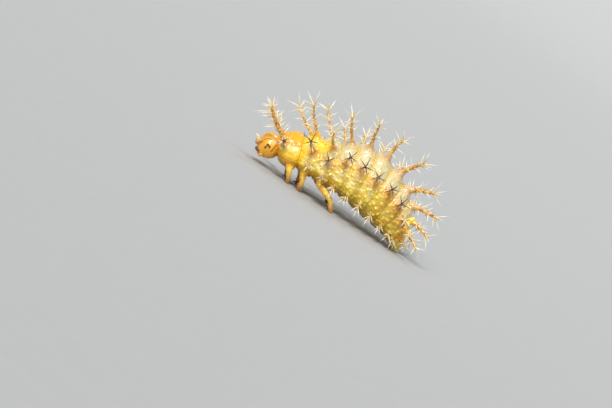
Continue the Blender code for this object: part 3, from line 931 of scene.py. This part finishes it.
def leg_values(points):
    """1 on the legs below the hip cone, and 1 at their soles, 0 elsewhere."""
    part = np.zeros(len(points))
    sole = np.zeros(len(points))
    for line in LEG_LINES:
        tree = search_tree(line)
        close = np.flatnonzero(np.linalg.norm(points - line[len(line) // 2], axis=1) < LEG_REACH)
        for k in close:
            _, number, distance = tree.find(points[k])
            if distance < LEG_CLOSE:
                part[k] = max(part[k], smooth(6, 16, number))
                sole[k] = max(sole[k], smooth(len(line) - 22, len(line) - 6, number))
    return part, sole


# Small folds of the skin: depth and number for each mm; warts: number for each mm and height
FOLDS = ((0.024, 4.2), (0.014, 9.5), (0.006, 19.0))
WARTS = 4.8
WART_HEIGHT = 0.062


def roughened(points, normals, mask, flank):
    """Points moved by the small folds and warts of the skin, and how deep in the gaps between the warts each
    place lies, for the painted shade there.
    """
    folds = np.array([sum(depth * noise.noise(Vector(point) * scale) for depth, scale in FOLDS)
                      for point in points])
    cells = np.array([noise.voronoi(Vector(point) * WARTS)[0][0] for point in points])
    bumps = WART_HEIGHT * (smooth(0.55, 0.05, cells) - 0.35)
    moved = points + normals * (mask * (folds + bumps * (0.15 + 0.85 * flank)))[:, None]
    return moved, flank * smooth(0.34, 0.52, cells)


def skin():
    """One skin over body, stems of the spines and legs."""
    pile = skin_pile()
    mesh = remeshed(np.array(pile.points), pile.faces)
    edges = read_rows(mesh.edges, "vertices", 2, np.int64)
    points = relaxed(read_rows(mesh.vertices, "co", 3), edges, RELAX_ROUNDS)
    mesh.vertices.foreach_set("co", points.ravel())
    mesh.update()
    normals = read_rows(mesh.vertex_normals, "vector", 3)
    place, angle = body_places(points)
    place, angle = relaxed(place, edges, 2), np.abs(angle)
    stem, dark, spot = stem_values(points)
    leg, sole = [relaxed(values, edges, 3) for values in leg_values(points)]
    bare = (1 - smooth(0.05, 0.2, stem)) * (1 - 0.7 * leg)
    flank = window(angle, 44, 62, 132, 156) * smooth(0.9, 2.2, place)
    points, hollow = roughened(points, normals, 0.12 + 0.88 * bare, flank * bare)
    points[:, 2] = np.maximum(points[:, 2], 0.0)
    mesh.vertices.foreach_set("co", to_metres(points).ravel())
    smooth_shaded(mesh)

    # Colour masks, by place in segments and by angle in degrees from the middle of the back
    plate_line = 0.95 * bell(angle - PLATE_EDGE, 3.2) * smooth(0.12, 0.25, place)
    plate_line *= 1 - smooth(0.86, 0.96, place)
    front_fat = smooth(0.95, 1.35, place) * (1 - 0.85 * smooth(4.8, 6.6, place))
    front_fat *= 1 - smooth(8.6, 10, place)
    collar = 1 - 0.75 * window(angle, 54, 68, 88, 112)
    collar *= 1 - smooth(0.92, 1.12, place)
    chest = 0.75 * smooth(100, 128, angle) * (1 - smooth(2.6, 3.6, place))
    add_values(
        mesh,
        cream=smooth(76, 58, angle) * window(place, 2.0, 3.2, 8.0, 9.4),
        warm=(1 - smooth(0.9, 1.5, place)) * 0.75,
        orange=np.maximum(collar, chest),
        fat=window(angle, 50, 66, 96, 122) * front_fat,
        # painted shade in the gaps between the warts, stronger towards the tail and gone at its end
        hollow=hollow * (0.7 + 0.5 * smooth(4.8, 6.6, place)) * (1 - smooth(9.6, 10.4, place)),
        # painted highlight: a pale band along the collar's side, below its plate
        band=bell(angle - 72, 9) * window(place, 0.1, 0.4, 0.8, 1.0),
        sole=sole,
        # painted shade: amber darkening on the underside, and more faintly on the flank towards the tail
        under=np.maximum(smooth(128, 160, angle), 0.42 * flank * smooth(5.6, 7.6, place)),
        crease=bell(place - np.round(place), 0.07),
        stem=stem,
        dark=relaxed(dark, edges, 1),
        spot=np.maximum(spot * bare, plate_line),
        leg=leg,
    )
    return mesh


# Head
HEAD_UP = np.array((HEAD_FORWARD[2], 0.0, -HEAD_FORWARD[0]))
NECK_CENTRE = np.array(((NECK_BACK[0] + NECK_BELLY[0]) / 2, 0.0, (NECK_BACK[1] + NECK_BELLY[1]) / 2))
NECK_REACH = HEAD_HALF_LENGTH * math.sqrt(1 - (NECK_OPENING / HEAD_HALF_HEIGHT) ** 2)
HEAD_CENTRE = NECK_CENTRE + HEAD_FORWARD * (NECK_REACH + HEAD_GAP)
LEFTWARD = np.array((0.0, -1.0, 0.0))

# Marks of the head, by angle from its front pole and angle round its axis from the top, and for the
# simple eyes their radius
STEMMATA = ((70, 94, 0.044), (80, 80, 0.050), (88, 89, 0.044))
SEAM_TOP = ((135, 0), (110, 0), (88, 0), (68, 0))
SEAM_ARM = ((68, 0), (60, 22), (54, 44), (52, 60))
BROW_LINE = ((60, 54), (74, 50), (92, 56))
CHEEK_LINE = ((118, 78), (108, 92), (99, 109))
EYE_LINES = (((70, 94), (80, 80)), ((80, 80), (88, 89)))
LINE_STEPS = 24


def head_points(polar, phi, lift=0.0):
    """Points of the plain head shape, lifted by a distance."""
    polar, phi = np.radians(np.asarray(polar, float)), np.radians(np.asarray(phi, float))
    along = (HEAD_HALF_LENGTH + lift) * np.cos(polar)
    up = (HEAD_HALF_HEIGHT + lift) * np.sin(polar) * np.cos(phi)
    side = (HEAD_HALF_WIDTH + lift) * np.sin(polar) * np.sin(phi)
    return HEAD_CENTRE + np.stack((along, up, side), -1) @ np.stack((HEAD_FORWARD, HEAD_UP, LEFTWARD))


def near_line(points, marks, width, side=1):
    """Closeness of points to a line on the left (1) or right (-1) of the head, 1 on it."""
    marks = np.array(marks, float) * (1, side)
    share = np.linspace(0, len(marks) - 1, LINE_STEPS)
    polar = np.interp(share, range(len(marks)), marks[:, 0])
    phi = np.interp(share, range(len(marks)), marks[:, 1])
    line = head_points(polar, phi)
    distance = np.full(len(points), 9.0)
    for start, end in zip(line[:-1], line[1:]):
        along = end - start
        part = np.clip((points - start) @ along / (along @ along), 0, 1)
        distance = np.minimum(distance, np.linalg.norm(points - start - part[:, None] * along, axis=1))
    return bell(distance, width)


HEAD_ROWS = 110
HEAD_SIDES = 200
HEAD_FROM, HEAD_TO = 1.5, 146


def head():
    """Head capsule with seams, cheeks, forehead plate and its pigment."""
    polar = np.linspace(HEAD_FROM, HEAD_TO, HEAD_ROWS)
    phi = np.arange(HEAD_SIDES) * 360.0 / HEAD_SIDES
    grid_polar, grid_phi = [values.ravel() for values in np.meshgrid(polar, phi, indexing="ij")]
    plain = head_points(grid_polar, grid_phi)
    away = unit(plain - HEAD_CENTRE)
    turned = wrapped(grid_phi)
    aside = np.abs(turned)
    lift = -0.035 * np.exp(-((grid_polar - 46) / 20) ** 2 - (turned / 52) ** 2)
    lift += 0.030 * smooth(34, 29, grid_polar) * smooth(64, 52, aside)
    # partly the head's own paler patch behind the eyes and partly a painted highlight there
    pale = np.exp(-((grid_polar - 108) / 20) ** 2 - ((aside - 60) / 16) ** 2)
    ink = np.zeros(len(plain))
    rust = 0.75 * smooth(46, 20, grid_polar)
    for side in (1, -1):
        lift += 0.030 * near_line(plain, ((76, 88), (84, 86)), 0.20, side)
        lift += 0.035 * near_line(plain, ((34, 128), (50, 138)), 0.17, side)
        arm = near_line(plain, SEAM_ARM, 0.020, side)
        brow = near_line(plain, BROW_LINE, 0.028, side)
        cheek = near_line(plain, CHEEK_LINE, 0.040, side)
        lift -= 0.014 * arm + 0.006 * brow
        rust = np.maximum(rust, 0.6 * arm)
        ink = np.maximum(ink, np.maximum(0.85 * brow, 0.9 * cheek))
        for line in EYE_LINES:
            ink = np.maximum(ink, 0.95 * near_line(plain, line, 0.052, side))
        for at, round_axis, size in STEMMATA:
            spot = head_points(at, side * round_axis)
            ink = np.maximum(ink, np.exp(-(np.linalg.norm(plain - spot, axis=1) / (size * 1.15)) ** 4))
    top = near_line(plain, SEAM_TOP, 0.020)
    lift -= 0.016 * top
    rust = np.maximum(rust, 0.6 * top)
    rust = np.maximum(rust, 0.8 * smooth(100, 130, grid_polar) * smooth(70, 110, aside))
    lift += np.array([0.006 * noise.noise(Vector(point) * 9.0) for point in plain])
    mesh = mesh_from("head", plain + away * lift[:, None], ring_faces(HEAD_ROWS, HEAD_SIDES))
    add_values(mesh, ink=ink, rust=rust, pale=pale)
    turn_outward(mesh)
    return mesh


LENS_LIFT = 0.022
LENS_HEIGHT = 0.042


def eyes(side):
    """Three simple eyes of one side, each a low rounded lens."""
    pile = Pile()
    turns = math.pi / 2 * np.linspace(0.0, 1.0, 9)
    for polar, phi, size in STEMMATA:
        centre = head_points(polar, side * phi, LENS_LIFT)
        out = unit(centre - HEAD_CENTRE)
        path = [centre - out * 0.03] + [centre + out * LENS_HEIGHT * math.sin(turn) for turn in turns]
        radii = [size] + [size * math.cos(turn) for turn in turns[:-1]] + [0]
        pile.tube(path, radii, 24, tip=0.5)
    return pile


# Soft ring and three joints of the feeler: distance along it and radius
FEELER_SECTIONS = (
    ((-0.05, 0.105), (0.0, 0.105), (0.03, 0.092), (0.045, 0.070), (0.03, 0.058)),
    ((0.0, 0.062), (0.05, 0.066), (0.115, 0.062), (0.135, 0.052), (0.138, 0.030)),
    ((0.12, 0.046), (0.17, 0.050), (0.27, 0.046), (0.295, 0.038), (0.298, 0.022)),
    ((0.28, 0.030), (0.32, 0.031), (0.355, 0.024), (0.368, 0.012)),
)
FEELER_END = 0.36


def feeler(side):
    """Short feeler of three joints on a soft ring, with its end bristle."""
    pile = Pile()
    root = head_points(48, side * 62)
    out = unit(root - HEAD_CENTRE)
    lean = HEAD_UP * 0.22 + HEAD_FORWARD * 0.12
    for number, section in enumerate(FEELER_SECTIONS):
        path = [root + out * reach + lean * max(reach, 0.0) ** 2 for reach, _ in section]
        pile.tube(path, [radius for _, radius in section], 20, tip=0.25 * number)
    end = root + out * FEELER_END + lean * FEELER_END ** 2
    pile.tube([end, end + out * 0.06, end + out * 0.13], (0.010, 0.007, 0), 6, tip=0.0)
    return pile


def jaw(side):
    """Broad biting jaw with small teeth."""
    pile = Pile()
    root = head_points(34, side * 128)
    inward = -LEFTWARD * side
    path = curved((root - HEAD_FORWARD * 0.08, root + HEAD_FORWARD * 0.02 + inward * 0.01,
                   root + HEAD_FORWARD * 0.08 + inward * 0.07, root + HEAD_FORWARD * 0.12 + inward * 0.15), 5)
    radii = np.interp(np.linspace(0, 1, len(path)), (0, 0.4, 0.8, 1), (0.115, 0.110, 0.065, 0.03))
    pile.tube(path, radii, 20, tip=np.linspace(0.0, 1.0, len(path)))
    for share, reach in ((-3, 0.055), (-5, 0.05), (-7, 0.045)):
        base = path[share]
        point = base + inward * (reach + 0.05) - HEAD_UP * 0.03 * (share + 5) / 2 + HEAD_FORWARD * 0.03
        pile.tube([base, (base + point) / 2, point], (0.045, 0.032, 0), 10, tip=(0.7, 0.9, 1.0))
    return pile


PALP_RADII = (0.105, 0.078, 0.060, 0.044)


def palp(side):
    """Palp of three joints on its bulging root."""
    pile = Pile()
    root = head_points(58, side * 140)
    out = unit(root - HEAD_CENTRE)
    points = (root - out * 0.06, root + out * 0.03, root + out * 0.08 + HEAD_FORWARD * 0.04,
              root + out * 0.09 + HEAD_FORWARD * 0.10, root + out * 0.08 + HEAD_FORWARD * 0.15)
    for number, (start, end, thick) in enumerate(zip(points[:-1], points[1:], PALP_RADII)):
        along = end - start
        path = [start - along * 0.15, start, start + along * 0.5, start + along * 0.92, end]
        pile.tube(path, [thick * share for share in (0.6, 0.92, 1.0, 0.9, 0.55)], 18, tip=0.3 * number)
    return pile


LIP_SIDES = 48
LIP_MIDDLE = 0.14
LIP_HEIGHT = 0.14
LIP_WIDTH = 0.25
# Rings of the lip: height over the head and size
LIP_RINGS = ((-0.02, 1.0), (0.030, 1.05), (0.065, 1.0), (0.090, 0.86), (0.100, 0.6), (0.102, 0.3))


def lip():
    """Upper lip, a curved plate with a notch in its lower edge."""
    turns = 2 * np.pi * np.arange(LIP_SIDES) / LIP_SIDES
    notch = 0.035 * bell(turns - 1.5 * np.pi, 0.30)
    rings = []
    for lift, grow in LIP_RINGS:
        up = LIP_MIDDLE + (LIP_HEIGHT * np.sin(turns) + notch) * grow
        across = LIP_WIDTH * np.cos(turns) * grow
        polar = np.degrees(np.hypot(up, across) / HEAD_HALF_HEIGHT)
        rings.append(head_points(polar, np.degrees(np.arctan2(across, up)), lift))
    mesh = mesh_from("lip", np.concatenate(rings), ring_faces(len(rings), LIP_SIDES))
    add_values(mesh, tip=np.repeat(np.linspace(0.0, 1.0, len(rings)), LIP_SIDES))
    turn_outward(mesh)
    return mesh


# Spines, bristles and claws
BOX_LOW, BOX_HIGH = [np.array(corner) / MM - (TAIL_X, 0.0, 0.0) for corner in CAD_BOX]
# Pale thorns end in a bristle and dark rays in a point: share of the length and of the thickness
THORN_PROFILE = (
    (-0.06, 1.10), (0.0, 1.0), (0.08, 0.88), (0.22, 0.80), (0.42, 0.70), (0.58, 0.56), (0.68, 0.38),
    (0.74, 0.20), (0.86, 0.13), (0.95, 0.08), (1.0, 0.0),
)
RAY_PROFILE = ((-0.06, 1.10), (0.0, 1.0), (0.2, 0.84), (0.45, 0.64), (0.7, 0.40), (0.88, 0.18), (1.0, 0.0))
THORN_THICK = 0.038
RAY_THICK = 0.029
# Shares of its length that a thorn is tried at, until it stays in the box
SHRINKS = (1.0, 0.85, 0.7, 0.55, 0.4)


def fits(tip):
    """Whether a tip lies in the object's box and clear of the floor."""
    return bool((tip > BOX_LOW + 0.02).all() and (tip < BOX_HIGH - 0.01).all())


def grown(pile, root, out, length, thick, spot, rng, sway=0.08, sides=7, profile=THORN_PROFILE):
    """One thorn with its bristle, a little curved, shortened where it would leave the box."""
    aside = unit(np.cross(out, (rng.uniform(-1, 1), rng.uniform(-1, 1), rng.uniform(-1, 1))))
    for shrink in SHRINKS:
        long = length * shrink
        if fits(root + out * long + aside * sway * long):
            break
    path = [root + out * long * share + aside * sway * long * max(share, 0.0) ** 2 for share, _ in profile]
    pile.tube(path, [thick * radius for _, radius in profile], sides, spot,
              tip=[min(max(share, 0.0), 1.0) for share, _ in profile])


def map_spot(spine, share):
    """Place of a spine on the skin's unwrap."""
    return (spine.place + 0.12 * share) / COUNT, (spine.angle + 180 + 2 * share) / 360


def stem_at(spine, share):
    """Point on the middle line of a stem, and its radius there."""
    shares = [row[0] for row in STEM_PROFILE]
    path = np.array(stem_path(spine))
    point = np.array([np.interp(share, shares, path[:, axis]) for axis in range(3)])
    radius = np.interp(share, shares, [row[1] for row in STEM_PROFILE]) * stem_girth(spine)
    return point, radius


# Thorns of each row of spines: how many for each mm of stem, lowest share of the stem, length and lean
# of the side thorns, then how many at the top, their length and lean
ROW_THORNS = {
    "collar": (9.0, 0.14, 0.80, 68, 5, 0.50, 44),
    "back": (9.0, 0.20, 0.56, 62, 4, 0.74, 44),
    "side": (5.0, 0.30, 0.42, 62, 5, 0.46, 76),
    "edge": (9.0, 0.25, 0.52, 42, 4, 0.60, 26),
}
SPIRAL = 137.5


def spine_thorns(rng):
    """Pale and dark thorns of all the branched spines."""
    piles = {word: Pile() for word in (*ROW_THORNS, "dark")}
    for spine in SPINES:
        dense, low, length, lean, crown, crown_length, crown_lean = ROW_THORNS[spine.row]
        scale = 0.45 + 0.55 * min(spine.length / 1.3, 1.0) if spine.row != "edge" else 0.55 + spine.length
        helper = unit(np.cross(spine.direction, (0.31, 0.87, 0.38)))
        other = np.cross(spine.direction, helper)
        start = rng.uniform(0, 360)
        count = max(3, round(dense * spine.length * (1 - low)))
        rows = [(low + (0.93 - low) * (k + 0.5 * rng.random()) / count, length * rng.uniform(0.72, 1.12),
                 lean + rng.uniform(-14, 10), SPIRAL * k, False) for k in range(count)]
        rows += [(0.965, crown_length * rng.uniform(0.85, 1.12), crown_lean + rng.uniform(-10, 8),
                  360 * k / crown, True) for k in range(crown)]
        for share, size, turn, around, at_top in rows:
            spin = math.radians(start + around + rng.uniform(-16, 16))
            tilt = math.radians(turn)
            side = helper * math.cos(spin) + other * math.sin(spin)
            out = unit(spine.direction * math.cos(tilt) + side * math.sin(tilt))
            point, radius = stem_at(spine, share)
            root = point + side * radius * 0.45
            dark = dark_topped(spine) and (at_top or share > 0.88)
            thick = (RAY_THICK if dark else THORN_THICK) * (0.6 + 0.4 * spine.girth)
            if spine.row == "collar":
                size *= 0.55 if dark_topped(spine) else 0.80 - 0.42 * out[0]
            pile = piles["dark" if dark else spine.row]
            profile = RAY_PROFILE if dark else THORN_PROFILE
            grown(pile, root, out, size * scale, thick, map_spot(spine, share), rng, profile=profile)
    return piles


# Fine hairs: how many over the skin, over the head and on each leg, and their thickness at the root
SKIN_HAIRS = 620
HEAD_HAIRS = 70
LEG_HAIRS = 42
HAIR_THICK = 0.008
SKIN_HAIR_THICK = 0.0065
HAIR_FLOOR = 0.25
HAIR_PROFILE = ((-0.05, 1.0), (0.0, 1.0), (0.25, 0.72), (0.55, 0.45), (0.8, 0.22), (1.0, 0.0))


def above_floor(root, out):
    """Direction of a hair, turned up where the hair would reach under the floor."""
    if root[2] > HAIR_FLOOR:
        return out
    return np.array((out[0], out[1], abs(out[2])))


def hair(pile, root, out, length, spot, rng, thick=HAIR_THICK, sway=0.2):
    """One fine hair."""
    grown(pile, root, out, length, thick, spot, rng, sway, 4, HAIR_PROFILE)


def body_hairs(rng):
    """Fine short hairs over the skin, tail, legs and head."""
    pile = Pile()
    for _ in range(SKIN_HAIRS):
        place = rng.uniform(0.25, 11.4)
        angle = rng.choice((-1, 1)) * (rng.uniform(20, 175) if rng.random() < 0.8 else rng.uniform(5, 60))
        t = place % 1.0
        if min(t, 1 - t) < 0.10:
            continue
        out = outward(place, angle)
        out = unit(out + np.array([rng.uniform(-0.35, 0.35) for _ in range(3)]))
        length = rng.uniform(0.07, 0.17) if abs(angle) < 100 else rng.uniform(0.09, 0.22)
        spot = (place / COUNT, (angle + 180) / 360)
        root = skin_point(place, angle)
        hair(pile, root, above_floor(root, out), length, spot, rng, SKIN_HAIR_THICK)
    for _ in range(HEAD_HAIRS):
        polar, phi = rng.uniform(20, 118), rng.uniform(-180, 180)
        if any(abs(polar - at) < 9 and abs(abs(phi) - turn) < 12 for at, turn, _ in STEMMATA):
            continue
        root = head_points(polar, phi, -0.005)
        out = unit(unit(root - HEAD_CENTRE) + HEAD_FORWARD * 0.35)
        spot = (0.01 + 0.0003 * polar, (phi + 180) / 360)
        hair(pile, root, out, rng.uniform(0.08, 0.19), spot, rng, sway=0.22)
    for number, line in enumerate(LEG_LINES):
        for _ in range(LEG_HAIRS):
            k = rng.randrange(15, len(line) - 4)
            along = unit(line[k + 1] - line[k - 1])
            out = unit(np.cross(along, [rng.uniform(-1, 1) for _ in range(3)]))
            radius = np.interp(k / (len(line) - 1) * (len(LEG_RADII) - 1), range(len(LEG_RADII)), LEG_RADII)
            root = line[k] + out * radius * 0.86
            out = above_floor(root, unit(out + along * 0.7))
            spot = (0.08 + 0.06 * number, 0.9 + 0.001 * k)
            hair(pile, root, out, rng.uniform(0.07, 0.15), spot, rng)
    return pile


def claw(line, side):
    """Curved claw with a tooth at its root, at the end of a leg's line."""
    pile = Pile()
    hook = unit(np.array((-0.80, side * 0.60, 0.0)))
    root = line[-2] + hook * 0.035
    root[2] = 0.085
    points = (root, root + hook * 0.09 + (0, 0, 0.035), root + hook * 0.19 + (0, 0, 0.005),
              np.append((line[-1] + hook * 0.262)[:2], 0.006))
    path = curved(points, 5)
    radii = np.interp(np.linspace(0, 1, len(path)), (0, 0.35, 0.8, 1.0), (0.055, 0.042, 0.018, 0.0))
    pile.tube(path, radii, 14, tip=np.linspace(0.0, 1.0, len(path)))
    tooth = root + hook * 0.07 + (0, 0, -0.055)
    pile.tube([root + hook * 0.02, root + hook * 0.05 + (0, 0, -0.02), tooth], (0.034, 0.026, 0), 10,
              tip=(0.2, 0.5, 0.9))
    return pile


SIDES = ((1, "left"), (-1, "right"))
FLESH = NAMES + ["%s_%s_%s" % (part, leg[0], word) for leg in LEGS for part in ("femur", "tibia")
                 for _, word in SIDES]

piece("skin", skin(), SKIN, FLESH)
piece("head_capsule", head(), HEAD, ["head"])
piece("upper_lip", lip(), SOFT, ["lip"])
for side, word in SIDES:
    for part, pile, material in (("eyes", eyes(side), EYE), ("feeler", feeler(side), FEELER),
                                 ("jaw", jaw(side), JAW), ("palp", palp(side), SOFT)):
        fine_piece("%s_%s" % (part, word), pile, material)
for line, (leg, side, word) in zip(LEG_LINES, [(leg[0], *side) for leg in LEGS for side in SIDES]):
    fine_piece("claw_%s_%s" % (leg, word), claw(line, side), CLAW)

growth = random.Random(SEED + 1)
for word, pile in spine_thorns(growth).items():
    name = "thorns_" + word
    piece(name, pile.mesh(name), DARK_SPINE if word == "dark" else PALE_SPINE)
piece("fine_hairs", body_hairs(growth).mesh("fine_hairs"), BRISTLE)

# Studio
FLOOR_FLAT = 0.40
COVE = 0.30
COVE_SIDES = 96
COVE_ROWS = 14


def studio_floor():
    """Flat floor that curves up into a low wall all round."""
    outline = [(0.05, 0.0), (0.2, 0.0), (FLOOR_FLAT, 0.0)]
    for k in range(1, COVE_ROWS + 1):
        turn = math.pi / 2 * k / COVE_ROWS
        outline.append((FLOOR_FLAT + COVE * math.sin(turn), COVE * (1 - math.cos(turn))))
    verts = [(0.0, 0.0, 0.0)]
    faces = []
    for row, (radius, height) in enumerate(outline):
        for k in range(COVE_SIDES):
            angle = 2 * math.pi * k / COVE_SIDES
            verts.append((radius * math.cos(angle), radius * math.sin(angle), height))
            a, b = 1 + row * COVE_SIDES + k, 1 + row * COVE_SIDES + (k + 1) % COVE_SIDES
            faces.append((0, a, b) if row == 0 else (a - COVE_SIDES, a, b, b - COVE_SIDES))
    return mesh_from("studio_floor", verts, faces, scaled=False)


floor = studio_floor()
floor.materials.append(floor_material())
floor_object = placed("studio_floor", floor)

world = bpy.data.worlds.new("studio")
world.use_nodes = True
sky = world.node_tree.nodes["Background"].inputs
sky["Color"].default_value = (0.84, 0.86, 0.88, 1.0)
sky["Strength"].default_value = 0.46
bpy.context.scene.world = world


def towards(azimuth, elevation):
    """Direction away from the object; azimuth 0 is square to its left side."""
    turn, rise = math.radians(azimuth), math.radians(elevation)
    return Vector((math.sin(turn) * math.cos(rise), -math.cos(turn) * math.cos(rise), math.sin(rise)))


def sun(name, azimuth, elevation, spread, strength, colour):
    """Wide soft light from an azimuth and an elevation."""
    light = bpy.data.lights.new(name, "SUN")
    light.angle = math.radians(spread)
    light.energy = strength
    light.color = colour
    placed(name, light).rotation_euler = towards(azimuth, elevation).to_track_quat("Z", "Y").to_euler()


sun("key_light", -30, 50, 14, 2.5, (1.0, 0.98, 0.94))
sun("fill_light", -26, 25, 9, 1.35, (1.0, 0.98, 0.95))
sun("rim_light", 170, 62, 12, 0.8, (1.0, 0.98, 0.95))
bpy.context.scene.view_settings.view_transform = "Standard"

# Camera at the photograph's viewing angle: its azimuth, height and roll
CAMERA_AZIMUTH = -7
CAMERA_ELEVATION = 6
CAMERA_ROLL = 33.73
CAMERA_DISTANCE = 0.150
FRAME_WIDTH = 0.02815
# Point in the middle of the picture: along the view's level line and its upright one, from the tail joint
AIM = (-4.541, -0.455)

turn = math.radians(CAMERA_AZIMUTH)
level = Vector((math.cos(turn), math.sin(turn), 0.0))
ahead = -towards(CAMERA_AZIMUTH, CAMERA_ELEVATION)
upright = level.cross(ahead)
roll = math.radians(CAMERA_ROLL)
right = level * math.cos(roll) + upright * math.sin(roll)
up = upright * math.cos(roll) - level * math.sin(roll)
target = (Vector((TAIL_X, 0.0, 0.0)) + level * AIM[0] + upright * AIM[1]) * MM
camera_data = bpy.data.cameras.new("camera")
camera_data.sensor_fit = "HORIZONTAL"
camera_data.angle = 2 * math.atan(FRAME_WIDTH / 2 / CAMERA_DISTANCE)
camera_data.clip_start = 0.001
camera_data.clip_end = 10.0
camera = placed("camera", camera_data)
rows = [(right[k], up[k], -ahead[k], target[k] - ahead[k] * CAMERA_DISTANCE) for k in range(3)]
camera.matrix_world = Matrix(rows + [(0.0, 0.0, 0.0, 1.0)])
bpy.context.scene.camera = camera
